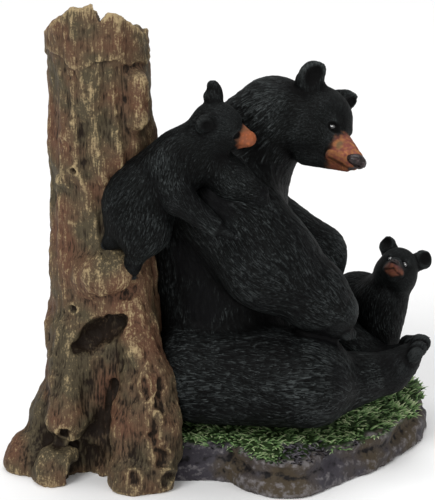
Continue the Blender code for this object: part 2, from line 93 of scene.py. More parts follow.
def put(forms, at, size=1.0, axes=None):
    turned = np.eye(3) if axes is None else axes
    placed = []
    for form in forms:
        copy = dict(form)
        for end in {"at", "end"} & set(form):
            copy[end] = np.array(at, float) + size * turned @ form[end]
        copy.update(size=form["size"] * size, blend=form["blend"] * size)
        copy.update(axes=turned @ form["axes"], flow=turned @ form["flow"])
        placed.append(copy)
    return placed


# Noise that is the same each run

def lattice(cell, seed):
    mixed = cell[..., 0] * 73856093 ^ cell[..., 1] * 19349663 ^ cell[..., 2] * 83492791
    mixed = (mixed ^ (seed * 40503 + 977)) & 0x7FFFFFFF
    mixed = ((mixed ^ (mixed >> 13)) * 1274126177) & 0x7FFFFFFF
    return ((mixed ^ (mixed >> 16)) & 0xFFFF) / 32767.5 - 1.0


def noise(points, seed=0):
    cell = np.floor(points).astype(np.int64)
    part = points - cell
    part = part * part * (3 - 2 * part)
    total = 0.0
    for corner in range(8):
        step = np.array([corner & 1, corner >> 1 & 1, corner >> 2 & 1])
        weight = np.prod(np.where(step, part, 1 - part), axis=1)
        total = total + weight * lattice(cell + step, seed)
    return total


def ridged(points, seed):
    return 1 - 2 * np.abs(noise(points, seed))


def rise(value, low, high):    # 0 below low, 1 above high, smooth between
    t = np.clip((value - low) / (high - low), 0, 1)
    return t * t * (3 - 2 * t)


def closeTo(points, at, far, full):    # 1 within full of a place, 0 beyond far
    return rise(-np.linalg.norm(points - at, axis=1), -far, -full)


def bumps(points, *layers):    # noises laid over each other, each with its height, width and seed
    return sum(height * noise(points / width, seed) for height, width, seed in layers)


def noiseVectors(points, seeds):
    return np.column_stack([noise(points, seed) for seed in seeds])


# Distances

def ballDistance(points, form):
    local = (points - form["at"]) @ form["axes"]
    near = np.linalg.norm(local / form["size"], axis=1)
    steep = np.linalg.norm(local / form["size"] ** 2, axis=1)
    return near * (near - 1) / np.maximum(steep, 1e-9)


def limbDistance(points, form):
    along = form["end"] - form["at"]
    share = np.clip((points - form["at"]) @ along / (along @ along), 0, 1)
    radius = form["size"][0] + share * (form["size"][1] - form["size"][0])
    return np.linalg.norm(points - form["at"] - share[:, None] * along, axis=1) - radius


def formDistance(points, form):
    return ballDistance(points, form) if form["kind"] == "ball" else limbDistance(points, form)


def smoothMin(a, b, blend):
    part = np.clip(0.5 + 0.5 * (b - a) / blend, 0, 1)
    return b + (a - b) * part - blend * part * (1 - part)


def formsDistance(points, forms, carved=()):
    distance = None
    for form in forms:
        new = formDistance(points, form)
        distance = new if distance is None else smoothMin(distance, new, form["blend"])
    for form in carved:
        distance = -smoothMin(-distance, formDistance(points, form), form["blend"])
    return distance


# From forms to a mesh

def meshOf(shape, name="work"):
    mesh = bpy.data.meshes.new(name)
    shape.to_mesh(mesh)
    shape.free()
    return mesh


def madeBall():
    shape = bmesh.new()
    bmesh.ops.create_uvsphere(shape, u_segments=20, v_segments=12, radius=1.0)
    return meshOf(shape, "ball")


def addCopy(shape, pattern, where):    # one more copy of a small mesh, set where the matrix says
    copy = pattern.copy()
    copy.transform(where)
    shape.from_mesh(copy)
    bpy.data.meshes.remove(copy)


def addBall(shape, centre, size, axes):
    turned = Matrix([list(row) for row in axes]).to_4x4()
    addCopy(shape, unitBall, Matrix.Translation(Vector(centre)) @ turned @ Matrix.Diagonal((*size, 1.0)))


unitBall = madeBall()


def addForm(shape, form):
    if form["kind"] == "ball":
        addBall(shape, form["at"], form["size"], form["axes"])
        return
    for centre, radius in zip((form["at"], form["end"]), form["size"]):
        addBall(shape, centre, (radius,) * 3, form["axes"])
    along = Vector(form["end"] - form["at"])
    turned = along.to_track_quat("Z", "Y").to_matrix().to_4x4()
    where = Matrix.Translation(Vector(form["at"] + form["end"]) / 2) @ turned
    bmesh.ops.create_cone(
        shape, cap_ends=True, segments=20, radius1=form["size"][0], radius2=form["size"][1],
        depth=along.length, matrix=where,
    )


def addObject(name, data):
    obj = bpy.data.objects.new(name, data)
    bpy.context.scene.collection.objects.link(obj)
    return obj


def modified(mesh, kind, **settings):
    obj = addObject("work", mesh)
    modifier = obj.modifiers.new(kind, kind)
    for name, value in settings.items():
        setattr(modifier, name, value)
    graph = bpy.context.evaluated_depsgraph_get()
    made = bpy.data.meshes.new_from_object(obj.evaluated_get(graph))
    bpy.data.objects.remove(obj)
    bpy.data.meshes.remove(mesh)
    return made


def readAll(parts, field, width=1, kind=np.float64):
    values = np.empty(len(parts) * width, kind)
    parts.foreach_get(field, values)
    return values.reshape(-1, width) if width > 1 else values


def pointsOf(mesh):
    return readAll(mesh.vertices, "co", 3)


def normalsOf(mesh):
    return readAll(mesh.vertices, "normal", 3)


def setPoints(mesh, points):
    mesh.vertices.foreach_set("co", points.ravel())
    mesh.update()


def settle(mesh, measure, rounds, reach):    # moves the vertices onto the surface of the blended forms
    points = pointsOf(mesh)
    probe = 0.15
    for _ in range(rounds):
        distance = measure(points)
        slope = np.column_stack([(measure(points + probe * axis) - distance) / probe for axis in np.eye(3)])
        step = slope * (distance / np.maximum((slope * slope).sum(axis=1), 0.3))[:, None]
        far = np.linalg.norm(step, axis=1)
        points = points - step * np.minimum(1, reach / np.maximum(far, 1e-9))[:, None]
    setPoints(mesh, points)


def smoothed(values, edges, rounds):    # values evened out along the edges
    count = len(values)
    links = np.bincount(edges.ravel(), minlength=count)
    for _ in range(rounds):
        total = np.zeros_like(values)
        for k in range(values.shape[1]):
            total[:, k] = np.bincount(edges[:, 0], values[edges[:, 1], k], count)
            total[:, k] += np.bincount(edges[:, 1], values[edges[:, 0], k], count)
        values = (values + total) / (links + 1)[:, None]
    return values


def pushOut(mesh, points, normals, lift):    # along the normals, but nothing at the ground or below it
    lift = np.where(points[:, 2] < 0.4, 0, lift)
    points = points + normals * lift[:, None]
    points[:, 2] = np.maximum(points[:, 2], 0)
    setPoints(mesh, points)
    return points


def storeNumber(mesh, name, values):
    attribute = mesh.attributes.new(name, "FLOAT", "POINT")
    attribute.data.foreach_set("value", np.asarray(values, np.float32))


def storeColour(mesh, name, colours):
    attribute = mesh.attributes.new(name, "FLOAT_COLOR", "POINT")
    attribute.data.foreach_set("color", np.asarray(colours, np.float32).ravel())


# How far each point stands out of its surroundings: fine ridges for the washes and the dry-brushing, broad
# forms for painted shade in broad hollows, which sunk makes darker still
def storeRelief(mesh, fine, broad, sunk=0.0):
    points, normals = pointsOf(mesh), normalsOf(mesh)
    edges = readAll(mesh.edges, "vertices", 2, np.int32)
    for name, (rounds, depth) in {"ridge": fine, "broadShading": broad}.items():
        level = ((points - smoothed(points, edges, rounds)) * normals).sum(axis=1)
        storeNumber(mesh, name, np.clip(level / depth, -1, 1) - (sunk if name == "broadShading" else 0))


def carvedMesh(forms, measure, voxels, top=None):
    shape = bmesh.new()
    for form in forms:
        addForm(shape, form)
    mesh = meshOf(shape)
    for k, voxel in enumerate(voxels):
        mesh = modified(mesh, "REMESH", mode="VOXEL", voxel_size=voxel)
        if top is not None:
            setPoints(mesh, top(pointsOf(mesh)))
        settle(mesh, measure, 4 if k < len(voxels) - 1 else 2, voxel * 3)
    return mesh


def finishPiece(name, mesh, materials):
    mesh.name = name
    mesh.transform(intoFrame)
    mesh.shade_smooth()
    for material in materials:
        mesh.materials.append(material)
    piece = addObject(name, mesh)
    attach(piece, "root")
    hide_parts("bear_figurine")
    mesh.calc_loop_triangles()
    print("made", name, "with", len(mesh.loop_triangles), "triangles", flush=True)


# Locks of fur, stamped one by one along the way the hair lies

hair = {
    "reach": 2.5,    # mm, how far a form turns the hair of its neighbours
    "swirl": 11,     # mm, the size of the cowlicks
    "sizes": ((0, 0.45), (0.45, 0.75), (0.75, 1.3), (1.3, 9)),    # smaller locks are set closer
    "lengths": (0.75, 1.3), "widths": (0.75, 1.25), "depths": (0.55, 1.0),    # from lock to lock
    "sunk": 0.45,    # how much of a lock lies below the skin
}


def hairFlow(points, normals, forms, wander):
    pull = np.zeros_like(points)
    for form in forms:
        near = np.exp(-np.maximum(formDistance(points, form), 0) / hair["reach"])
        pull += near[:, None] * form["flow"]
    pull /= np.linalg.norm(pull, axis=1)[:, None] + 1e-9
    pull += wander * noiseVectors(points / hair["swirl"], (41, 42, 43))
    pull -= normals * (pull * normals).sum(axis=1)[:, None]
    return pull / (np.linalg.norm(pull, axis=1)[:, None] + 1e-9)


def treeOf(points):
    tree = kdtree.KDTree(len(points))
    for index, point in enumerate(points):
        tree.insert(point, index)
    tree.balance()
    return tree


def lockCentres(points, size, spacing, random):
    shuffled = random.permutation(len(points))
    centres = []
    for low, high in hair["sizes"]:
        some = shuffled[(size[shuffled] >= low) & (size[shuffled] < high)]
        if len(some) == 0:
            continue
        cells = np.floor(points[some] / (spacing * size[some].mean())).astype(np.int64)
        centres.append(some[np.sort(np.unique(cells, axis=0, return_index=True)[1])])
    return random.permutation(np.concatenate(centres))


def stampLocks(mesh, bear, seed):
    locks = bear["locks"]
    points, normals = pointsOf(mesh), normalsOf(mesh)
    random = np.random.default_rng(seed)
    size = hairSize(points, bear)
    centres = lockCentres(points, size, locks["spacing"], random)
    middle, up = points[centres], normals[centres]
    flow = hairFlow(middle, up, bear["all"], locks["wander"])
    side = np.cross(up, flow)
    length = locks["length"] * size[centres] * random.uniform(*hair["lengths"], len(centres))
    width = locks["width"] * size[centres] * random.uniform(*hair["widths"], len(centres))
    bend = random.normal(0, locks["bend"], len(centres)) / length
    depth = random.uniform(*hair["depths"], len(centres))

    tree = treeOf(points)
    height = np.zeros(len(points))
    winner = np.full(len(points), -1)
    for k in range(len(centres)):
        found = tree.find_range(middle[k], length[k] * 0.55)
        near = np.fromiter((item[1] for item in found), np.int64, len(found))
        offset = points[near] - middle[k]
        along = offset @ flow[k] / length[k] + 0.5
        across = offset @ side[k] - bend[k] * (along - 0.5) ** 2 * length[k] ** 2
        pointed = np.sqrt(np.clip(1 - np.clip(along, 0, 1) ** 3, 0.02, 1))
        half = 0.5 * width[k] * pointed
        crown = np.clip(1 - (across / half) ** 2, 0, 1) ** 0.6
        end = np.clip((1 - along) / 0.15, 0, 1)
        stamp = depth[k] * (0.25 + 0.75 * along) * end * crown
        stamp[(along < 0) | (normals[near] @ up[k] < 0.2)] = 0
        better = stamp > height[near]
        height[near[better]] = stamp[better]
        winner[near[better]] = k
    bare = soles(points, bear)
    creases = 0.35 * ridged(points / 3.2, 44) + bumps(points, (0.15, 1.1, 45))
    lift = locks["depth"] * size * (height - hair["sunk"]) * (1 - bare) + creases * bare
    setPoints(mesh, points + normals * lift[:, None])
    mesh, winner = thinned(mesh, winner)
    layHairLines(mesh, winner, (middle, flow, side, size[centres]), random)
    return mesh


def thinned(mesh, winner):    # fewer faces where the carving is plain
    mesh.calc_loop_triangles()
    if len(mesh.loop_triangles) <= mostTriangles:
        return mesh, winner
    tree = treeOf(pointsOf(mesh))
    mesh = modified(mesh, "DECIMATE", ratio=mostTriangles / len(mesh.loop_triangles))
    return mesh, winner[[tree.find(point)[1] for point in pointsOf(mesh)]]


def layHairLines(mesh, winner, frames, random):    # a UV map in millimetres: u runs along each lock
    middle, flow, side, size = frames
    points = pointsOf(mesh)
    tree = treeOf(middle)
    for index in np.flatnonzero(winner < 0):
        winner[index] = tree.find(points[index])[1]
    corners = readAll(mesh.loops, "vertex_index", kind=np.int64)
    start = readAll(mesh.polygons, "loop_start", kind=np.int64)
    total = readAll(mesh.polygons, "loop_total", kind=np.int64)
    lock = np.repeat(winner[corners[start]], total)
    shift = random.uniform(0, 400, (len(middle), 2))
    offset = points[corners] - middle[lock]
    u = (offset * flow[lock]).sum(axis=1) / size[lock] + shift[lock, 0]
    v = (offset * side[lock]).sum(axis=1) / size[lock] + shift[lock, 1]
    layer = mesh.uv_layers.new(name="hair")
    layer.uv.foreach_set("vector", np.column_stack([u, v]).astype(np.float32).ravel())


# Heads and paws, drawn on a skull or a pad of radius 1 that looks along X

face = {
    "tip": 1.92, "tipRadius": 0.27,    # the end of the muzzle, in front of the skull's middle
    "drop": 0.62,                      # and how far below it
    "eye": (1.04, 0.42, -0.1), "gaze": (0.80, 0.60, 0.06),
    "bead": 0.13, "sunk": 0.4,         # the radius of an eye, and the share of it behind the lids
    "glint": 0.16,                     # of the bead's radius
    "nose": 1.0,
}


# Each ear, the right one first, is (yaw, pitch, roll, how wide, how tall)
def head(at, radius, forward, left, ears, **changes):
    skull = {**face, **changes}
    tip, drop = skull["tip"], skull["drop"]
    back = (-1, 0, 0.25)
    jaw, throat = (-drop - 0.24, -0.92) if tip > 1.8 else (-drop - 0.18, -0.66)    # a cub's are higher
    forms = [
        ball((0, 0, 0), (1.0, 0.92, 0.93), blend=0.35, flow=(-1, 0, -0.3)),
        ball((0.40, 0, 0.08), (0.56, 0.66, 0.58), blend=0.25, flow=back),
        limb((0.80, 0, -0.45), (tip, 0, -drop), 0.58, skull["tipRadius"], blend=0.25, flow=back),
        limb((0.32, 0, throat), (tip - 0.16, 0, jaw), 0.48, 0.20, blend=0.15, flow=(-1, 0, -0.1)),
    ]
    carved = []
    lip = -drop - 0.16
    x, y, z = skull["eye"]
    for side, (yaw, pitch, roll, wide, tall) in zip((-1, 1), ears):
        turn = (side * yaw, pitch, side * roll)
        out, _, up = turnMatrix(*turn).T
        middle = np.array([-0.20, side * 0.93, 0.88]) + up * 0.3 * (tall - 1)
        upwards = (-0.2, side * 0.5, 1)
        forms += [
            ball((-0.05, side * 0.46, -0.52), (0.84, 0.55, 0.66), blend=0.30, flow=(-1, 0, -0.6)),
            ball((0.74, side * 0.36, 0.08), (0.26, 0.24, 0.17), blend=0.15, flow=back),
            ball(middle * 0.78 - (0.14, 0, 0), (0.28, 0.44, 0.40), turn, 0.20, (-0.4, side * 0.4, 0.6)),
            ball(middle - (0.02, 0, 0), (0.22, 0.45 * wide, 0.42 * tall), turn, 0.14, upwards),
            ball(middle + up * 0.18 * tall + (0.14, 0, 0), (0.15, 0.27 * wide, 0.27 * tall), turn, 0.12,
                 upwards),
            limb((tip, side * 0.10, lip), (tip - 0.50, side * 0.36, lip - 0.06), 0.12, 0.16, 0.10, back),
        ]
        carved += [
            ball((x + 0.03, side * y, z), (0.17, 0.17, 0.12), (side * 25, 0, 0), blend=0.10),
            ball(middle + out * 0.24, (0.20, 0.31 * wide, 0.36 * tall), turn, blend=0.12),
            limb((tip + 0.12, 0, lip - 0.10), (tip - 0.55, side * 0.60, lip - 0.22), 0.02, 0.04, blend=0.05),
        ]
    axes = facing(forward, left)
    return {
        **skull, "forms": put(forms, at, radius, axes), "carved": put(carved, at, radius, axes),
        "at": np.array(at, float), "radius": radius, "axes": axes,
    }


def paw(at, forward, across, size, toes=5):
    pad = ball((-0.08, 0, 0.04), (1.02, 0.90, 0.58), blend=0.5, flow=(1, 0, 0))
    row = [
        ball(
            (1.10 - 0.12 * abs(k), 0.36 * k, 0.08), (0.38 - 0.04 * abs(k), 0.23, 0.34 - 0.04 * abs(k)),
            blend=0.10 + 0.06 * abs(k), flow=(1, 0, 0),
        )
        for k in (i - (toes - 1) / 2 for i in range(toes))
    ]
    axes = facing(forward, across)
    return {
        "forms": put([pad, *row], at, size, axes),
        "at": np.array(at, float), "size": size, "axes": axes, "toes": toes,
    }


# The poses, as in the CAD, from the seat on top of the rock

mother = {
    "head": head(
        (44.0, -8, 140), 15.4, (0.685, -0.72, -0.11), (0.52, 0.59, -0.62),
        ears=((30, 4, -8, 0.84, 1.0), (4, 6, -36, 0.88, 0.9)),
    ),
    "forms": [
        ball((-3, 2, 26), (32, 36, 29)),
        ball((3, 2, 54), (32, 36, 31), blend=12),
        ball((2, 2, 84), (29, 34, 30), blend=12),
        ball((-11, 1, 90), (21, 28, 40), (0, 6, 0), blend=10),
        ball((4, 2, 107), (25, 33, 25), blend=12, flow=(-0.5, 0, -1)),
        limb((6, 1, 115), (25, -4, 138), 24, 19, blend=10, flow=(-0.75, 0.1, -0.6)),
        limb((-6, -25, 28.3), (38.5, -38, 29.3), 23.7, 21.7, blend=5),
        limb((44, -34, 24), (73, -16, 23), 16, 9.5, blend=5),
        limb((-6, 26, 27), (43, 38, 28), 27, 17, blend=8),
        limb((43, 38, 25), (74, 16, 13), 15, 9, blend=7),
        limb((4, -25, 106), (23, -36, 83), 21.5, 21, blend=8),
        limb((23, -36, 83), (42, -36, 68), 20.5, 15, blend=5),
        limb((42, -36, 68), (51, -35, 60), 14.5, 11, blend=5),
        limb((2, 25, 93), (44, 31, 62), 17, 13.5, blend=8),
        limb((44, 31, 62), (47, 34, 49), 13, 9.5, blend=5),
        ball((-27, 6, 22), (9, 9, 8), blend=6),
    ],
    "paws": [
        paw((50.5, -34.5, 55), (0.75, 0.0, -0.66), (0, 1, 0), 8.5),
        paw((48, 33.5, 46), (0.45, 0.05, -0.9), (0, 1, 0), 9.0),
        paw((82, -13, 26), (0.68, -0.06, 0.73), (0.1, 1, 0), 12),
        paw((80, 14, 16), (0.68, 0.06, 0.73), (-0.1, 1, 0), 11),
    ],
    "tan": {
        "edge": 1.26, "top": -0.15,    # the tan starts this far forward and below this height
        "bright": "95643f", "pink": "74433a", "olive": "57503a", "dark": "48271a", "earShadeReach": 0.05,
    },
    "shag": [((6, -16, 146), 30, 0.45)],    # longer hair: where, how far it reaches, how much longer
    "shade": [    # painted shade in the deep folds and gaps, above the ground: where, how far it reaches, how black
        ((-14, -34, 97), 15, 0.9), ((-6, -30, 78), 12, 0.9), ((48, -48, 50), 12, 0.9),
        ((-3, -47, 128), 15, 0.85), ((30, -50, 100), 30, 0.3),
    ],
    "fineHead": True,
    "voxels": (2.6, 1.5, 0.95),
    "locks": {"spacing": 2.4, "length": 9.5, "width": 2.7, "depth": 0.8, "bend": 0.30, "wander": 0.42},
}

climbingCub = {
    "head": head(
        (-0.5, -38, 147.5), 10.2, (0.965, -0.24, -0.09), (0.24, 0.85, 0.465),
        ears=((40, -8, -40, 0.66, 0.95), (72, 8, -34, 0.74, 1.22)),
        tip=1.40, tipRadius=0.34, eye=(1.0, 0.42, -0.08), nose=0.62,
    ),
    "forms": [
        ball((-34, -37, 111), (16, 13.5, 17.5), (0, 15, 0), flow=(-0.6, 0, -0.8)),
        ball((-25, -36.5, 121), (14, 12.5, 15), (0, 40, 0), blend=8, flow=(-0.7, 0, -0.7)),
        ball((-15, -36, 130), (13.5, 12, 12.5), (0, 30, 0), blend=8, flow=(-0.8, 0, -0.5)),
        limb((-12, -36, 133), (-1, -37, 145), 11.5, 10, blend=6, flow=(-0.8, 0, -0.6)),
        limb((-21, -43, 130), (-16.5, -49.5, 117), 9.5, 7.2, blend=3),
        limb((-16.5, -49.5, 117), (-1, -54.5, 106), 7, 4.2, blend=2),
        limb((-6, -35, 133), (6, -39, 122), 9, 8.5, blend=4),
        limb((6, -39, 122), (16, -37, 114), 8.2, 6.5, blend=4),
        ball((-32, -44, 101), (12.5, 10, 12), blend=4),
        limb((-33, -45, 96), (-36.5, -42, 85), 7, 4.0, blend=3),
        limb((-40, -38, 103), (-45, -38, 94.5), 8, 4.6, blend=5),
    ],
    "paws": [
        paw((4.5, -55.6, 103.6), (0.93, 0, -0.37), (0.2, -1, 0.3), 3.9),
        paw((19, -37.5, 111.5), (0.75, 0, -0.66), (0.2, -1, 0.3), 5.2),
        paw((-37, -42, 82.5), (-0.1, 0, -1), (1, 0, 0), 4.0),
        paw((-46.5, -38, 93), (-0.75, 0, -0.65), (0.4, -0.3, -0.8), 3.4),
    ],
    "tan": {
        "edge": 1.02, "top": 0.0,
        "bright": "8a4f33", "pink": "84503a", "olive": "6a4a36", "dark": "74402a", "earShadeReach": 0.34,
    },
    "shag": [],
    # painted shade over the near foreleg: where, how far it reaches, how black
    "shade": [((-12, -54, 131), 14, 0.45)],
    "fineHead": False,
    "voxels": (1.6, 0.9, 0.52),
    "locks": {"spacing": 1.5, "length": 5.0, "width": 1.5, "depth": 0.45, "bend": 0.30, "wander": 0.45},
}

standingCub = {
    "head": head(
        (81.5, 34, 55), 9.4, (-0.03, -0.77, 0.63), (0.92, -0.27, -0.285),
        ears=((30, -8, -34, 0.95, 1.05), (30, -8, -38, 1.05, 1.0)),
        tip=1.52, tipRadius=0.31, eye=(1.06, 0.39, -0.10), nose=0.85, sunk=-0.45, glint=0.24, drop=0.40,
    ),
    "forms": [
        ball((63, 53, 31), (13, 14, 14), flow=(-0.3, 0.7, -0.6)),
        ball((70, 45, 32), (12, 13, 13), blend=8, flow=(-0.3, 0.7, -0.6)),
        ball((74, 36, 33), (9.6, 11.5, 13.5), blend=8, flow=(0, 0.1, -1)),
        limb((75, 36, 38), (80, 36, 50), 10, 9.2, blend=6, flow=(0, 0.2, -1)),
        limb((73, 29, 28), (72.5, 26, 5), 6.3, 5.0, blend=4),
        limb((77, 34, 28), (77, 30, 5), 5.8, 4.8, blend=4),
        limb((58, 51, 24), (59, 47, 4), 8, 5.5, blend=4),
        limb((68, 58, 24), (72, 57, 4), 8, 5.5, blend=4),
        ball((56, 64, 34), (4, 4, 4), blend=4, flow=(-0.3, 1, 0)),
    ],
    "paws": [
        paw((x, y, 3), (0.1, -1, 0), (1, 0, 0), 5.0, toes=4)
        for x, y in ((73, 23), (79, 27), (59, 44), (73, 54))
    ],
    "tan": {
        "edge": 1.10, "top": 0.48,
        "bright": "6e4636", "pink": "5c3a38", "olive": "4a3a34", "dark": "784834", "earShadeReach": 0.05,
    },
    "shag": [],
    "shade": [],
    "fineHead": False,
    "voxels": (1.6, 0.9, 0.5),
    "locks": {"spacing": 1.5, "length": 4.6, "width": 1.4, "depth": 0.4, "bend": 0.30, "wander": 0.45},
}


def lifted(bear):    # the whole bear set on top of the rock
    up = (0, 0, place["rockTop"])
    bear["all"] = put(bear["forms"], up)
    for part in (bear["head"], *bear["paws"]):
        part["forms"] = put(part["forms"], up)
        part["at"] = part["at"] + up
        bear["all"] += part["forms"]
    bear["head"]["carved"] = put(bear["head"]["carved"], up)
    return bear


def headLocal(points, skull):
    return (points - skull["at"]) @ skull["axes"] / skull["radius"]


def footLocal(points, foot):
    return (points - foot["at"]) @ foot["axes"] / foot["size"]


# Short hair on the face and the paws, longer on the body and longest on the neck
def hairSize(points, bear):
    local = headLocal(points, bear["head"])
    size = 1 - 0.45 * closeTo(local, 0, 2.0, 1.4)
    size *= 1 - 0.45 * rise(local[:, 0], -0.3, 0.9) * closeTo(local, 0, 2.9, 2.4)
    for foot in bear["paws"]:
        size *= 1 - 0.4 * closeTo(footLocal(points, foot), 0, 2.1, 1.4)
    for at, reach, more in bear["shag"]:
        size *= 1 + more * closeTo(points, at, reach, 0.5 * reach)
    return size


def soles(points, bear):    # 1 on the bare pads under the paws
    bare = np.zeros(len(points))
    for foot in bear["paws"]:
        local = footLocal(points, foot)
        bare = np.maximum(bare, rise(-local[:, 2], 0.28, 0.50) * closeTo(local, 0, 1.65, 1.35))
    return bare


def nearestOf(points, forms):
    return np.min([formDistance(points, form) for form in forms], axis=0)


# The tan of the muzzle, dark lips and lids, and black in the ear bowls as painted shade; alpha is how much of
# the fur it covers
def facePaint(points, skull, tan):
    local = headLocal(points, skull)
    x, z = local[:, 0], local[:, 2]
    edge = tan["edge"] + 0.07 * noise(points / 1.6, 62)
    near = closeTo(local, (skull["tip"] - 0.35, 0, -0.55), 1.25, 1.05)
    near *= rise(-nearestOf(points, skull["forms"]), -0.8, -0.4)
    near *= rise(-z, tan["top"] - 0.12, tan["top"] + 0.12)
    cover = rise(x, edge - 0.06, edge + 0.20) * near
    mottled = rise(bumps(points, (1, 1.5, 61), (0.6, 0.6, 63)), -0.5, 0.5)
    low = rise(-z, 0.45, 1.0)    # redder and darker towards the jaw
    tones = {key: np.array(sRGB(tan[key])) for key in ("bright", "pink", "olive", "dark")}
    colour = tones["bright"] + (tones["pink"] - tones["bright"]) * mottled[:, None]
    olive = rise(noise(points / 2.8, 64), 0.0, 0.6) * rise(-x, -1.75, -1.45)
    colour += (tones["olive"] - colour) * (olive * 0.8)[:, None]
    colour += (tones["dark"] - colour) * (low * 0.8)[:, None]
    lids, bowls, mouth = (nearestOf(points, skull["carved"][k::3]) / skull["radius"] for k in range(3))
    brushed = rise(noise(points / 0.8, 65), 0.25, 0.7)    # touches of a nearly dry brush
    colour *= ((1 + 0.45 * brushed) * (1 - 0.75 * rise(-mouth, -0.05, 0.0)))[:, None]
    # painted shade: black in the hollows of the ear bowls; the lids are painted black
    black = np.maximum(rise(-lids, -0.06, 0.0), rise(-bowls, -tan["earShadeReach"], 0.02)) * 0.95
    return blackened(colour, cover, black, "0b0b0b")


def shadePaint(paint, points, bear):    # black over the bare soles and the paws, and painted shade in the deep folds and gaps
    black = soles(points, bear) * 0.85
    for foot in bear["paws"]:
        black = np.maximum(black, 0.55 * closeTo(footLocal(points, foot), 0, 1.7, 1.3))
    # painted shade where each bear's folds and gaps fall in shadow
    for at, reach, strength in bear["shade"]:
        black = np.maximum(black, strength * closeTo(points, at, reach, 0.45 * reach))
    return blackened(paint[:, :3], paint[:, 3], black, "0b0b0c")


def blackened(colour, cover, black, code):
    cover = cover * (1 - black)
    both = np.maximum(cover + black, 1e-6)
    colour = (colour * cover[:, None] + np.array(sRGB(code)) * black[:, None]) / both[:, None]
    return np.column_stack([colour, both])


def sRGB(code):    # the linear colour of a hex value
    parts = [int(code[k:k + 2], 16) / 255 for k in (0, 2, 4)]
    return tuple(c / 12.92 if c <= 0.04045 else ((c + 0.055) / 1.055) ** 2.4 for c in parts)


def makeBear(name, bear, seed, paints):
    bear = lifted(bear)
    forms, carved, skull = bear["all"], bear["head"]["carved"], bear["head"]

    def measure(points):
        return formsDistance(points, forms, carved)

    mesh = carvedMesh(forms, measure, bear["voxels"])
    if bear["fineHead"]:
        mesh = finerHead(mesh, skull)
    mesh = stampLocks(mesh, bear, seed)
    storeRelief(mesh, (6, 0.30), (60, 1.6))
    points = pointsOf(mesh)
    storeColour(mesh, "paint", shadePaint(facePaint(points, skull, bear["tan"]), points, bear))
    finishPiece(name, mesh, [paints["fur"]])
    makeEyes(name, skull, measure, paints["eye"], paints["glint"])
    makeNose(name, skull, paints["nose"])
    makeClaws(name, bear, paints["claw"])


def finerHead(mesh, skull):    # cuts the faces of the head in four, so that the face can be carved finely
    shape = bmesh.new()
    shape.from_mesh(mesh)
    points = np.array([vert.co[:] for vert in shape.verts])
    inside = formsDistance(points, skull["forms"]) < 0.3
    edges = {
        edge for edge in shape.edges
        if inside[edge.verts[0].index] and inside[edge.verts[1].index]
    }
    bmesh.ops.subdivide_edges(shape, edges=list(edges), cuts=1, use_grid_fill=True)
    bpy.data.meshes.remove(mesh)
    return meshOf(shape)


eyeLight = (-0.1, -1.1, 0.6)    # the side of each bead that its catchlight is painted on


# Glossy beads pressed into the lids, each with a painted catchlight
def makeEyes(name, skull, measure, gloss, catchlightPaint):
    shape = bmesh.new()
    radius = skull["bead"] * skull["radius"]
    eye = np.array(skull["eye"])
    beads = []
    for side in (-1, 1):
        axes = skull["axes"] * (1, side, 1)
        out = axes @ skull["gaze"]
        start, aim = (skull["at"] + axes @ spot * skull["radius"] for spot in (eye - (0.5, 0.3, 0), eye))
        along = (aim - start) / np.linalg.norm(aim - start)
        reach = np.linspace(0, 1.2 * skull["radius"], 240)
        surface = start + reach[np.argmax(measure(start + reach[:, None] * along) > 0)] * along
        beads.append((surface - out * radius * skull["sunk"], out))
    for at, out in beads:
        addBall(shape, at, (radius,) * 3, facing(out, skull["axes"][:, 1]))
    # painted highlight: a small white dot on each bead
    for at, out in beads:
        glint = out + np.array(eyeLight)
        glint *= 0.9 * radius / np.linalg.norm(glint)
        addBall(shape, at + glint, (radius * skull["glint"],) * 3, np.eye(3))
    mesh = meshOf(shape)
    for polygon in mesh.polygons[len(mesh.polygons) // 2:]:
        polygon.material_index = 1
    finishPiece(name + "_eyes", mesh, [gloss, catchlightPaint])


def makeNose(name, skull, paint):    # a broad pad with two nostrils and a groove under it
    forms = [
        ball((0.04, 0, 0.03), (0.25, 0.25, 0.16), (0, 18, 0), blend=0.08),
        ball((-0.06, -0.15, -0.04), (0.20, 0.17, 0.15), blend=0.06),
        ball((-0.06, 0.15, -0.04), (0.20, 0.17, 0.15), blend=0.06),
        limb((0.02, 0, -0.10), (-0.12, 0, -0.27), 0.11, 0.08, blend=0.06),
    ]
    carved = [
        limb((0.28, side * 0.09, 0.02), (-0.02, side * 0.19, -0.05), 0.075, 0.05, blend=0.04)
        for side in (-1, 1)
    ] + [limb((0.14, 0, -0.08), (0.02, 0, -0.34), 0.02, 0.02, blend=0.04)]
    middle = (skull["tip"] + 0.15, 0, -skull["drop"])
    forms, carved = (
        put(put(part, middle, skull["nose"]), skull["at"], skull["radius"], skull["axes"])
        for part in (forms, carved)
    )

    def measure(points):
        return formsDistance(points, forms, carved) - 0.05 * noise(points / 0.5, 91)

    fine = skull["radius"] * 0.018
    mesh = carvedMesh(forms, measure, (fine * 2, fine))
    storeRelief(mesh, (6, 0.12), (30, 0.5))
    finishPiece(name + "_nose", mesh, [paint])


def madeSpike(sides, wide, sharp, where, cuts):    # a cone along one axis, cut across for bending
    shape = bmesh.new()
    bmesh.ops.create_cone(
        shape, cap_ends=True, segments=sides, radius1=wide, radius2=sharp, depth=1.0, matrix=where,
    )
    axis = where.to_3x3() @ Vector((0, 0, 1))
    long = [edge for edge in shape.edges if abs((edge.verts[0].co - edge.verts[1].co) @ axis) > 0.5]
    bmesh.ops.subdivide_edges(shape, edges=long, cuts=cuts)
    return shape


claws = {"length": 0.20, "width": 0.09, "bend": 0.12}    # on a pad of radius 1


def madeClaw():    # drawn out along X and bent down
    turn = Matrix.Rotation(math.radians(90), 4, "Y")
    shape = madeSpike(8, 1.0, 0.05, Matrix.Translation((0.5, 0, 0)) @ turn, 4)
    for vert in shape.verts:
        vert.co.z -= claws["bend"] * vert.co.x ** 2 / claws["width"]
    return meshOf(shape, "claw")


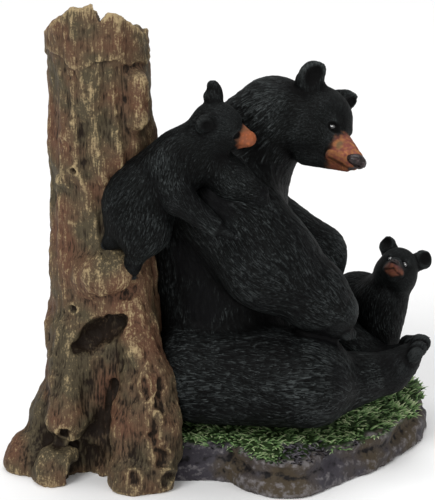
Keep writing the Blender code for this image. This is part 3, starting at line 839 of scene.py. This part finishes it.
def makeClaws(name, bear, paint):
    shape = bmesh.new()
    claw = madeClaw()
    for foot in bear["paws"]:
        turned = Matrix([list(row) for row in foot["axes"]]).to_4x4()
        onPaw = Matrix.Translation(Vector(foot["at"])) @ turned @ Matrix.Scale(foot["size"], 4)
        for toe in range(foot["toes"]):
            k = toe - (foot["toes"] - 1) / 2
            root = Matrix.Translation((1.34 - 0.16 * abs(k), 0.36 * k, 0.16))
            splay = Matrix.Rotation(math.radians(4 * k), 4, "Z") @ Matrix.Rotation(math.radians(8), 4, "Y")
            thick = Matrix.Diagonal((claws["length"], claws["width"], claws["width"], 1.0))
            addCopy(shape, claw, onPaw @ root @ splay @ thick)
    bpy.data.meshes.remove(claw)
    finishPiece(name + "_claws", meshOf(shape), [paint])


# Materials

def addNode(tree, kind, inputs=None, stops=None, **settings):    # one node with its settings and links
    made = tree.nodes.new("ShaderNode" + kind)
    for name, value in settings.items():
        setattr(made, name, value)
    if stops:
        while len(made.color_ramp.elements) < len(stops):
            made.color_ramp.elements.new(0.5)
        for element, (position, colour) in zip(made.color_ramp.elements, stops):
            element.position = position
            element.color = (*colour, 1) if isinstance(colour, tuple) else (colour,) * 3 + (1,)
    feed(made, inputs or {})
    return made


def feed(node, inputs):    # a node given here stands for its first output
    for socket, value in inputs.items():
        if isinstance(value, bpy.types.Node):
            value = value.outputs[0]
        if isinstance(value, bpy.types.NodeSocket):
            node.id_data.links.new(value, node.inputs[socket])
        else:
            node.inputs[socket].default_value = value


def newMaterial(name, roughness, specular=0.5):
    material = bpy.data.materials.new(name)
    material.use_nodes = True
    shader = material.node_tree.nodes["Principled BSDF"]
    feed(shader, {"Roughness": roughness, "Specular IOR Level": specular, "IOR": 1.5})
    return material, material.node_tree, shader


furPaint = {
    "black": "070707", "brushed": "161818", "pale": "3b3f3f", "levels": (0.56, 0.78, 0.98),
    "hairLong": 5.5, "hairWide": 0.45, "patch": 14,    # mm
    "shares": (0.22, 0.30, 0.06),    # that high locks, patches and high broad forms add to the hairs; the last is painted light on broad forms
    "bump": 0.00022,
}


# Cast resin, black enamel, then a nearly dry grey brush drawn over the locks: satin, pale on high hairs
def castFur():
    material, tree, shader = newMaterial("resin_fur_dry_brushed", 0.56, 0.045)
    uv = addNode(tree, "UVMap", uv_map="hair")
    hairScale = addNode(tree, "Mapping", {
        "Vector": uv, "Scale": (1 / furPaint["hairLong"], 1 / furPaint["hairWide"], 1),
    })
    hairs = addNode(tree, "TexNoise", {
        "Vector": hairScale, "Scale": 1.0, "Detail": 2.0,
    }, noise_dimensions="2D")
    where = addNode(tree, "TexCoord")
    ridge, broadShading, paint = (
        addNode(tree, "Attribute", attribute_name=name) for name in ("ridge", "broadShading", "paint")
    )
    patches = addNode(tree, "TexNoise", {
        "Vector": where.outputs["Object"], "Scale": 1000 / furPaint["patch"], "Detail": 2.0,
    })
    high = hairs
    for part, share in zip((ridge, patches, broadShading), furPaint["shares"]):
        high = addNode(tree, "Math", {0: part.outputs["Fac"], 1: share, 2: high}, operation="MULTIPLY_ADD")
    codes = (furPaint["black"], furPaint["brushed"], furPaint["pale"])
    brushed = addNode(tree, "ValToRGB", {"Fac": high}, stops=list(zip(furPaint["levels"], map(sRGB, codes))))
    colour = addNode(tree, "Mix", {0: paint.outputs["Alpha"], 6: brushed, 7: paint}, data_type="RGBA")
    bump = addNode(tree, "Bump", {"Height": hairs, "Strength": 0.8, "Distance": furPaint["bump"]})
    feed(shader, {"Base Color": colour.outputs[2], "Normal": bump})
    return material


enamel = {"spots": 1.1, "levels": (0.42, 0.70), "coatRoughness": 0.12, "bump": 0.00008}    # spots in mm


# Enamel brushed on by hand, a little worn on what stands out
def smallPaint(name, colour, worn, roughness, specular, coat):
    material, tree, shader = newMaterial(name, roughness, specular)
    where = addNode(tree, "TexCoord")
    spots = addNode(tree, "TexNoise", {
        "Vector": where.outputs["Object"], "Scale": 1000 / enamel["spots"], "Detail": 2.0,
    })
    mixed = addNode(tree, "ValToRGB", {"Fac": spots}, stops=list(
        zip(enamel["levels"], (sRGB(colour), sRGB(worn)))))
    bump = addNode(tree, "Bump", {"Height": spots, "Strength": 0.35, "Distance": enamel["bump"]})
    feed(shader, {
        "Base Color": mixed, "Normal": bump, "Coat Weight": coat, "Coat Roughness": enamel["coatRoughness"],
    })
    return material


def bearPaints():
    return {
        "fur": castFur(),
        # Enamel under clear gloss: wet black beads
        "eye": smallPaint("enamel_eye_gloss", "060607", "0b0a0a", 0.06, 0.6, 1.0),
        # Painted highlight: a white catchlight, a painted reflection, on each bead
        "glint": smallPaint("painted_catchlight_white", "e8e8e4", "f2f2ee", 0.3, 0.5, 0.0),
        # Satin enamel: dark leather, paler where it is worn
        "nose": smallPaint("enamel_nose_satin", "171110", "3a2d2d", 0.40, 0.22, 0.10),
        # Gloss enamel: smooth dark horn
        "claw": smallPaint("enamel_claw_gloss", "0c0d0f", "1c1f24", 0.3, 0.25, 0.25),
    }


# The trunk, drawn about its own foot

trunk = {
    "foot": np.array([-50.5, -15.0, 0.0]),
    "tall": 218.0 / 220.3,      # how much the drawing is pressed to the real height
    "drawnTop": 220.3,
    "radius": 21.5, "lean": -2.8, "breakSlope": 0.42,
    "twist": 0.004,             # radians that the grain turns in each mm up
    "rim": [    # how far the broken rim lies below the highest splinter, across the trunk
        (-20.6, 15.5), (-18.3, 10.3), (-15.3, 7.4), (-9.3, 1.6), (-4.6, 3.1), (-0.2, 0.0),
        (1.1, 4.7), (2.8, 8.6), (6.1, 4.4), (10.5, 5.8), (12.5, 7.5), (18.8, 10.5), (20.8, 14.5),
    ],
    "voxels": (2.4, 1.4, 0.82),
}


def trunkForms():
    forms = [
        limb((trunk["lean"] - 0.4, 0, 232), (0.3, 0, 150), 20.8, 21.5),
        limb((0.3, 0, 150), (0.6, 0, 92), 21.5, 22.4),
        limb((0.6, 0, 92), (1.2, 0, 60), 22.4, 23.8),
        limb((1.2, 0, 60), (2.0, 2, 20), 23.8, 26.0),
        limb((2.0, 2, 20), (2.0, 3, -8), 26.0, 27.0),
        limb((-14, -5, 42), (-27, -12, 14), 9, 8.5, blend=7),
        ball((-33, -13, 4), (10.5, 9.5, 12), blend=5),
        limb((-14, -15, 62), (-15.5, -24, 27), 8.5, 8.6, blend=7),
        ball((-19, -28, 4), (11.5, 9.8, 12.5), blend=5),
        limb((9, -14, 96), (20, -27, 44), 8, 10.5, blend=8),
        limb((20, -27, 44), (23, -32, 18), 10.5, 11, blend=8),
        limb((16, -28, 66), (26, -37, 30), 5.5, 7, blend=5),
        ball((17, -36, 4), (13.5, 11.5, 14), blend=5),
        ball((18, -30, 24), (14, 11, 20), blend=6),
        limb((-8, 12, 50), (-20, 28, 4), 11, 9, blend=9),
        limb((4, 14, 56), (2, 42, 4), 12, 10, blend=9),
        ball((1, -22, 95.5), (13, 10, 11), blend=5),
        ball((-22, -5, 63), (4, 6, 7), blend=4),
        limb((-3, -19.3, 181), (-13.7, -14, 157), 3.4, 3.8, blend=5),
        ball((-11.5, -15.5, 143), (6, 4.5, 9), blend=4),
        limb((-16, -14, 137), (1, -20, 140), 3.0, 2.6, blend=2),
        limb((16.5, -16.5, 183), (17, -17, 166), 3.8, 5, blend=6),
    ]
    carved = [
        ball((-1, -28, 68), (15.5, 13, 7.6), (0, -36, 0), blend=2),
        limb((5.5, -26, 44), (-7, -31, 2), 2.6, 9.5, blend=3),
        limb((-6, -29, 80), (15, -28, 90), 3.0, 4.4, blend=3),
        ball((0, -33, 59), (12, 9, 7), (0, -30, 0), blend=5),
        limb((11, -27, 52), (14, -30, 34), 1.6, 1.2, blend=3),
        ball((-15.8, -32, 23), (2.8, 4.5, 3.2), blend=1),
        limb((9.5, -23, 196), (12.5, -22.5, 168), 1.3, 2.4, blend=3),
        limb((-11.5, -21, 224), (-10, -22, 203), 2.2, 0.8, blend=1),
    ]
    return forms, carved


def trunkGrain(points):
    up = points[:, 2]
    angle = np.arctan2(points[:, 1], points[:, 0]) + up * trunk["twist"]
    around = np.column_stack([np.cos(angle), np.sin(angle)])
    waves = 0.9 * noise(np.column_stack([around * 2.6, up / 42]), 3)
    return waves + 0.8 * ridged(np.column_stack([around * 4.2, up / 55]), 5)


def barkPlate(points):
    ragged = 191 + 4 * noise(points * (1 / 7, 1 / 7, 0), 7)
    return 1.1 * np.clip((points[:, 2] - ragged) / 1.2, 0, 1)


def brokenTop(points):
    across = points[:, 0] - trunk["lean"]
    back = points[:, 1] + trunk["radius"] - 1.5
    drop = np.interp(across, [x for x, _ in trunk["rim"]], [z for _, z in trunk["rim"]])
    inside = np.clip(back / 12, 0, 1)
    torn = 2.2 * noise(np.column_stack([across / 5, back / 7, back * 0]), 11)
    drop = drop * (1 - 0.45 * inside) + trunk["breakSlope"] * np.maximum(back, 0) + inside * (3.5 + torn)
    return trunk["drawnTop"] - drop


def trunkLocal(points):
    return (points - trunk["foot"]) / (1, 1, trunk["tall"])


def tornOff(points):
    local = trunkLocal(points)
    over = local[:, 2] > trunk["drawnTop"] * 0.8
    local[over, 2] = np.minimum(local[over, 2], brokenTop(local[over]))
    return local * (1, 1, trunk["tall"]) + trunk["foot"]


# Torn pits with raised rims on the side that faces the viewer: across, up, radius, how tall
scars = [
    (22.5, 31, 3.0, 3.4), (26.5, 17, 3.4, 1.6), (28.0, 7, 3.0, 1.4), (14, 8.5, 3.2, 1.5),
    (-12.8, 78, 1.8, 1.4), (-12, 143, 1.8, 1.4), (19, 50, 1.8, 4.0), (-15.8, 23, 3.6, 1.1),
    (25.5, 44, 1.6, 4.0),
]


def carveBark(mesh):    # fine wavy fibres that run up the trunk, lumps, pits and torn scars
    points, normals = pointsOf(mesh), normalsOf(mesh)
    local = trunkLocal(points)
    angle = np.arctan2(local[:, 1], local[:, 0]) + local[:, 2] * trunk["twist"]
    angle = angle + bumps(local, (0.16, (22, 22, 26), 70), (0.05, (8, 8, 10), 71))
    around = np.column_stack([np.cos(angle), np.sin(angle)]) * trunk["radius"]
    wavy = np.column_stack([around, local[:, 2]])
    rough = 0.65 + bumps(local, (0.5, (13, 13, 16), 79))
    fibres = bumps(wavy, (0.62, (3.0, 3.0, 26), 72), (0.55, (1.9, 1.9, 13), 73))
    long = 0.5 * ridged(wavy / (7, 7, 60), 78)
    knotted = 1 + 1.3 * rise(-local[:, 2], -95, -50)    # the roots are lumpier and less fibrous
    lumps = knotted * bumps(local, (0.55, (7, 7, 9), 75)) + bumps(local, (0.42, 2.5, 76))
    pits = -0.6 * rise(noise(local / (3.2, 3.2, 4.4), 77), 0.68, 0.88)
    flat = rise(np.abs(normals[:, 2]), 0.5, 0.85)
    lift = (fibres * rough / knotted ** 0.5 + long) * (1 - flat) + lumps + pits
    warp = 1.9 * noise(local / 3.4, 98)
    toViewer = rise(-normals[:, 1], -0.1, 0.3)
    for across, up, radius, tall in scars:
        far = np.hypot(local[:, 0] - across, (local[:, 2] - up) / tall) + warp
        rim = 0.7 * np.exp(-((far - radius) / 0.9) ** 2)
        lift += toViewer * (rim - 1.5 * rise(-far, -radius * 0.8, -radius * 0.3))
    pushOut(mesh, points, normals, lift)


def makeTrunk(bark):
    forms, carved = trunkForms()
    stretch = np.array([1, 1, trunk["tall"]])

    def measure(points):
        local = trunkLocal(points)
        torn = local + 1.5 * noiseVectors(local / 5.5, (87, 88, 89))    # the soft hollows have torn edges
        distance = formsDistance(local, forms)
        for form in carved:
            new = formDistance(torn if form["blend"] > 1 else local, form)
            distance = -smoothMin(-distance, new, form["blend"])
        distance -= trunkGrain(local) + barkPlate(local)
        distance = np.maximum(distance, (local[:, 2] - brokenTop(local)) * 0.85)
        return np.maximum(distance, -points[:, 2])

    placed = put(forms, (0, 0, 0))
    for form in placed:
        for end in {"at", "end"} & set(form):
            form[end] = form[end] * stretch + trunk["foot"]
    mesh = carvedMesh(placed, measure, trunk["voxels"], tornOff)
    carveBark(mesh)
    points = pointsOf(mesh)
    hollows = -nearestOf(trunkLocal(points), carved[:2])
    sunk = 0.6 * rise(-points[:, 2], -85, -35) + 0.9 * rise(hollows, -2.0, 1.5)    # painted shade: darker low down and in the two big hollows
    storeRelief(mesh, (8, 0.7), (80, 2.4), sunk)
    finishPiece("tree_trunk", mesh, [bark])


barkPaint = {
    "wash": "1c130b", "patches": ("484030", "564433", "5b4030"), "brush": "a8946f",
    "patch": 24, "grain": (0.9, 6.0), "speckle": 0.9,    # mm
    "washAt": (0.26, 0.47), "brushAt": (0.59, 0.88),
}


relief = {
    "patchAt": (0.40, 0.50, 0.61),
    "shares": (0.20, 0.17),    # that fine ridges and broad forms add to the grain; broad hollows take painted shade
    "brushed": 0.85, "bump": 0.0004,
}


# Broad patches of paint, a dark wash in what is low and a nearly dry brush on what is high; the wash also
# stands as painted shade in broad hollows
def paintedRelief(name, paint, roughness, specular):
    material, tree, shader = newMaterial(name, roughness, specular)
    where = addNode(tree, "TexCoord")
    ridge, broadShading = (addNode(tree, "Attribute", attribute_name=name) for name in ("ridge", "broadShading"))
    broad, speckle = (
        addNode(tree, "TexNoise", {
            "Vector": where.outputs["Object"], "Scale": 1000 / paint[size], "Detail": detail,
        })
        for size, detail in (("patch", 4.0), ("speckle", 3.0))
    )
    patches = addNode(tree, "ValToRGB", {"Fac": broad}, stops=list(
        zip(relief["patchAt"], map(sRGB, paint["patches"]))))
    wide, long = (1000 / size for size in paint["grain"])
    stretched = addNode(tree, "Mapping", {"Vector": where.outputs["Object"], "Scale": (wide, wide, long)})
    grain = addNode(tree, "TexNoise", {
        "Vector": stretched, "Scale": 1.0, "Detail": 4.0, "Roughness": 0.58,
    })
    high = grain
    for part, share in zip((ridge, broadShading), relief["shares"]):
        high = addNode(tree, "Math", {0: part.outputs["Fac"], 1: share, 2: high}, operation="MULTIPLY_ADD")
    washed = addNode(tree, "ValToRGB", {"Fac": high}, stops=list(zip(paint["washAt"], (1.0, 0.0))))
    wash = addNode(tree, "Mix", {0: washed, 6: patches, 7: (*sRGB(paint["wash"]), 1)}, data_type="RGBA")
    dotted = addNode(tree, "Math", {0: speckle, 1: -0.5}, operation="ADD")
    touch = addNode(tree, "Math", {0: dotted, 1: 0.6, 2: high}, operation="MULTIPLY_ADD")
    brushed = addNode(tree, "ValToRGB", {"Fac": touch}, stops=list(
        zip(paint["brushAt"], (0.0, relief["brushed"]))))
    colour = addNode(tree, "Mix", {
        0: brushed, 6: wash.outputs[2], 7: (*sRGB(paint["brush"]), 1),
    }, data_type="RGBA")
    rough = addNode(tree, "Math", {0: grain, 1: 0.8, 2: speckle}, operation="MULTIPLY_ADD")
    bump = addNode(tree, "Bump", {"Height": rough, "Strength": 0.8, "Distance": relief["bump"]})
    feed(shader, {"Base Color": colour.outputs[2], "Normal": bump})
    return material, tree, shader, colour.outputs[2]


# Cast resin bark, matt: brown, olive and reddish paint, an umber wash in the grain and as painted shade low
# down and in the hollows, tan brushed on the edges
def castBark():
    return paintedRelief("resin_bark_washed", barkPaint, 0.66, 0.15)[0]


# The rock

rock = {
    "thick": place["rockTop"],
    "outline": [
        (-30, -45), (-12, -45), (3, -46), (15, -59), (27, -65), (40, -63), (54, -47), (71, -33),
        (82, -14), (91, 6), (94, 21), (88, 42), (70, 57), (46, 64), (18, 65), (-12, 61), (-38, 49),
        (-58, 28), (-66, 4), (-60, -20), (-46, -34),
    ],
    "ledge": 2.6, "grassRise": 2.2,    # mm
    "voxels": (2.6, 1.6, 1.0),
}


def smoothOutline(corners, steps=4):
    points = [Vector(corner) for corner in corners]
    curve = []
    for i in range(len(points)):
        before, here, there, after = (points[(i + k) % len(points)] for k in (-1, 0, 1, 2))
        for step in range(steps):
            t = step / steps
            curve.append(0.5 * (
                2 * here + (there - before) * t + (2 * before - 5 * here + 4 * there - after) * t * t
                + (3 * here - before - 3 * there + after) * t ** 3
            ))
    return np.array(curve)


def outlineDistance(points, outline):
    nearest = np.full(len(points), np.inf)
    inside = np.zeros(len(points), bool)
    x, y = points[:, 0], points[:, 1]
    for a, b in zip(outline, np.roll(outline, -1, axis=0)):
        edge = b - a
        share = np.clip(((x - a[0]) * edge[0] + (y - a[1]) * edge[1]) / (edge @ edge), 0, 1)
        gapX, gapY = x - a[0] - share * edge[0], y - a[1] - share * edge[1]
        nearest = np.minimum(nearest, gapX * gapX + gapY * gapY)
        rising = (a[1] > y) != (b[1] > y)
        level = edge[1] if edge[1] else 1e-12
        inside ^= rising & (x < a[0] + edge[0] * (y - a[1]) / level)
    return np.where(inside, -1, 1) * np.sqrt(nearest)


def rockMeasure(outline):
    def measure(points):
        side = outlineDistance(points, outline) - 0.5
        up = points[:, 2] / rock["thick"]
        chips = bumps(points, (1, (13, 13, 9), 21), (0.5, (6, 6, 5), 22))
        split = 0.42 + bumps(points, (0.16, (22, 22, 60), 23))
        side = side + rock["ledge"] * np.clip((up - split) / 0.16, 0, 1) - 1.3 * chips
        grassy = np.clip((-side - 4) / 5, 0, 1)
        clumps = noise(points / (6.5, 6.5, 30), 24)
        top = points[:, 2] - rock["thick"] - (rock["grassRise"] * clumps + 0.8) * grassy - 0.5 * chips
        return np.maximum(-smoothMin(-side, -top, 3), -points[:, 2])
    return measure


def makeRock(stone):
    outline = smoothOutline(rock["outline"])
    measure = rockMeasure(outline)
    shape = bmesh.new()
    bottom = [shape.verts.new((x, y, -1)) for x, y in outline]
    raised = bmesh.ops.extrude_face_region(shape, geom=[shape.faces.new(bottom)])["geom"]
    top = [part for part in raised if isinstance(part, bmesh.types.BMVert)]
    bmesh.ops.translate(shape, verts=top, vec=(0, 0, rock["thick"] + 1))
    bmesh.ops.recalc_face_normals(shape, faces=shape.faces)
    mesh = meshOf(shape)
    for k, voxel in enumerate(rock["voxels"]):
        mesh = modified(mesh, "REMESH", mode="VOXEL", voxel_size=voxel)
        settle(mesh, measure, 3, voxel * 3)
    points, normals = pointsOf(mesh), normalsOf(mesh)
    strata = 0.4 * ridged(points / (16, 16, 2.6) + 0.3 * noise(points / 9, 81)[:, None], 82)
    side = 1 - rise(normals[:, 2], 0.5, 0.8)
    points = pushOut(mesh, points, normals, strata * side + bumps(points, (0.45, 2.8, 83), (0.6, 6, 84)))
    byTheCub = rise(points[:, 0], 66, 80)    # where the grass reaches the rim
    inland = -outlineDistance(points, outline) + 3 * byTheCub
    wander = bumps(points, (2.4, 5, 85), (1.2, 2, 86))
    green = rise(points[:, 2], rock["thick"] - 4.5, rock["thick"] - 2.0) * rise(inland + wander, 3.5, 6.5)
    storeNumber(mesh, "green", green)
    edge = rise(inland + wander, 0.8, 2.0) * (points[:, 2] > rock["thick"] - 4.5)
    makeGrass(points, normals, np.maximum(green, edge), inland)
    storeRelief(mesh, (6, 0.6), (60, 2.4))
    finishPiece("rock_base", mesh, [stone])


rockPaint = {
    "wash": "141213", "patches": ("322f35", "3e3b40", "453c30"), "brush": "757172", "moss": "2c3d20",
    "patch": 26, "grain": (3.0, 3.0), "speckle": 1.4,    # mm
    "washAt": (0.26, 0.44), "brushAt": (0.62, 0.92),
}


# Cast resin rock, matt: grey-purple with tan patches, a dark wash that is also painted shade in broad
# hollows, pale worn edges, green under the grass
def castRock():
    material, tree, shader, bare = paintedRelief("resin_rock_washed", rockPaint, 0.62, 0.15)
    green = addNode(tree, "Attribute", attribute_name="green")
    mossy = addNode(tree, "Mix", {
        0: green.outputs["Fac"], 6: bare, 7: (*sRGB(rockPaint["moss"]), 1),
    }, data_type="RGBA")
    feed(shader, {"Base Color": mossy.outputs[2]})
    return material


# The grass, blade by blade in tufts that lean outwards

grass = {
    "blades": 3800, "long": 3.7, "wide": 1.6, "thick": 0.75, "tuft": 5.5,    # mm
    "shade": "34492a", "green": "76975f", "tip": "c6d0a4", "bare": "77737a",
    "bareAt": (41, -57), "bareReach": 15,
}


def madeBlade():    # flattened, stands on Z and bends towards X
    shape = madeSpike(4, 0.5, 0.08, Matrix.Translation((0, 0, 0.5)), 3)
    for vert in shape.verts:
        z = vert.co.z
        fuller = 1 + 1.1 * math.sin(math.pi * z) * (1 - z)
        vert.co = Vector((vert.co.x * grass["thick"] * fuller + grass["long"] * 0.42 * z * z,
                          vert.co.y * grass["wide"] * fuller, (z - 0.08) * grass["long"]))
    return meshOf(shape, "blade")


# Grass cast with the base: dark green roots, a yellower green brushed on the tips, some left stone grey
def grassPaint():
    material, tree, shader = newMaterial("resin_grass_brushed", 0.6, 0.15)
    shade, bare = (addNode(tree, "Attribute", attribute_name=name) for name in ("shade", "bare"))
    greens = addNode(tree, "ValToRGB", {"Fac": shade.outputs["Fac"]}, stops=[
        (0.10, sRGB(grass["shade"])), (0.50, sRGB(grass["green"])), (0.95, sRGB(grass["tip"])),
    ])
    greys = addNode(tree, "ValToRGB", {"Fac": shade.outputs["Fac"]}, stops=[
        (0.15, sRGB(rockPaint["wash"])), (1.0, sRGB(grass["bare"])),
    ])
    colour = addNode(tree, "Mix", {0: bare.outputs["Fac"], 6: greens, 7: greys}, data_type="RGBA")
    feed(shader, {"Base Color": colour.outputs[2]})
    return material


def makeGrass(points, normals, green, inland):
    random = np.random.default_rng(12)
    free = (green > 0.25) & (normals[:, 2] > 0.2)
    for bear in (mother, climbingCub, standingCub):
        free &= formsDistance(points, bear["all"]) > -0.6
    free &= formsDistance(trunkLocal(points), trunkForms()[0]) > -0.4
    roots = random.choice(np.flatnonzero(free), grass["blades"])
    middle = points[roots].mean(axis=0)
    blade = madeBlade()
    heights = pointsOf(blade)[:, 2] / grass["long"]
    shape = bmesh.new()
    lush = (1 + 0.25 * noise(points[roots] / 9, 95)) * (0.7 + 0.3 * rise(inland[roots], 1, 7))
    turns = 1.9 * noise(points[roots] / grass["tuft"], 94) + random.normal(0, 0.35, len(roots))
    for root, turn, size in zip(roots, turns, lush * random.uniform(0.75, 1.2, len(roots))):
        at = points[root] + (random.uniform(-0.5, 0.5), random.uniform(-0.5, 0.5), 0)
        outward = math.atan2(at[1] - middle[1], at[0] - middle[0])
        lean = Matrix.Rotation(outward + turn, 4, "Z") @ Matrix.Rotation(random.uniform(0.4, 1.25), 4, "Y")
        addCopy(shape, blade, Matrix.Translation(Vector(at)) @ lean @ Matrix.Scale(size, 4))
    bpy.data.meshes.remove(blade)
    mesh = meshOf(shape)
    tint = random.uniform(-0.22, 0.22, len(roots)) + 0.3 * noise(points[roots] / 5, 96)
    shade = np.tile(heights, len(roots)) * 0.9 + np.repeat(tint, len(heights))
    storeNumber(mesh, "shade", np.clip(shade, 0, 1))
    edge = rise(-inland[roots] + 2.5 * noise(points[roots] / 6, 97), -3.5, -1.5)
    away = np.linalg.norm(points[roots][:, :2] - grass["bareAt"], axis=1) / grass["bareReach"]
    edge = np.maximum(edge, rise(-away + 0.25 * noise(points[roots] / 4, 99), -1.0, -0.8))
    storeNumber(mesh, "bare", np.repeat(edge, len(heights)))
    finishPiece("grass", mesh, [grassPaint()])


# Studio

studio = {
    "distance": 2.5, "elevation": 20.0, "aim": (0.2, 0.0, 92.0), "tall": 0.2212,
    "lamps": {    # where, how wide in metres, watts
        "key light": ((-0.9, -1.3, 1.5), 0.8, 24), "fill light": ((1.4, -1.2, 0.8), 1.2, 7),
        "top light": ((0.1, 0.5, 1.9), 1.2, 17), "eye light": ((-0.5, -2.2, 1.0), 0.12, 4),
    },
    "world": 0.44, "floor": 0.94,
}


def aimed(name, data, where, direction):
    obj = addObject(name, data)
    obj.location = where
    obj.rotation_mode = "QUATERNION"
    obj.rotation_quaternion = direction.to_track_quat("-Z", "Y")
    return obj


def makeStudio():
    scene = bpy.context.scene
    aim = seat + Vector(studio["aim"]) * metres
    tilt = math.radians(studio["elevation"])
    back = Vector((0, -math.cos(tilt), math.sin(tilt)))
    lens = bpy.data.cameras.new("camera")
    lens.lens = lens.sensor_width * studio["distance"] / studio["tall"]
    lens.clip_start, lens.clip_end = 0.05, 50
    scene.camera = aimed("camera", lens, aim + back * studio["distance"], -back)
    for name, (where, size, power) in studio["lamps"].items():
        lamp = bpy.data.lights.new(name, "AREA")
        lamp.size, lamp.energy = size, power
        aimed(name, lamp, where, aim - Vector(where))

    scene.world = bpy.data.worlds.new("studio")
    scene.world.use_nodes = True
    feed(scene.world.node_tree.nodes["Background"], {"Color": (1, 1, 1, 1), "Strength": studio["world"]})
    scene.view_settings.view_transform = "Standard"

    shape = bmesh.new()
    bmesh.ops.create_grid(shape, x_segments=1, y_segments=1, size=12)
    floor = addObject("floor", meshOf(shape, "floor"))
    material, _, shader = newMaterial("floor_paper", 0.9, 0.2)
    feed(shader, {"Base Color": (*(studio["floor"],) * 3, 1)})
    floor.data.materials.append(material)


paints = bearPaints()
makeStudio()
makeBear("mother", mother, 1, paints)
makeBear("climbing_cub", climbingCub, 2, paints)
makeBear("standing_cub", standingCub, 3, paints)
makeTrunk(castBark())
makeRock(castRock())
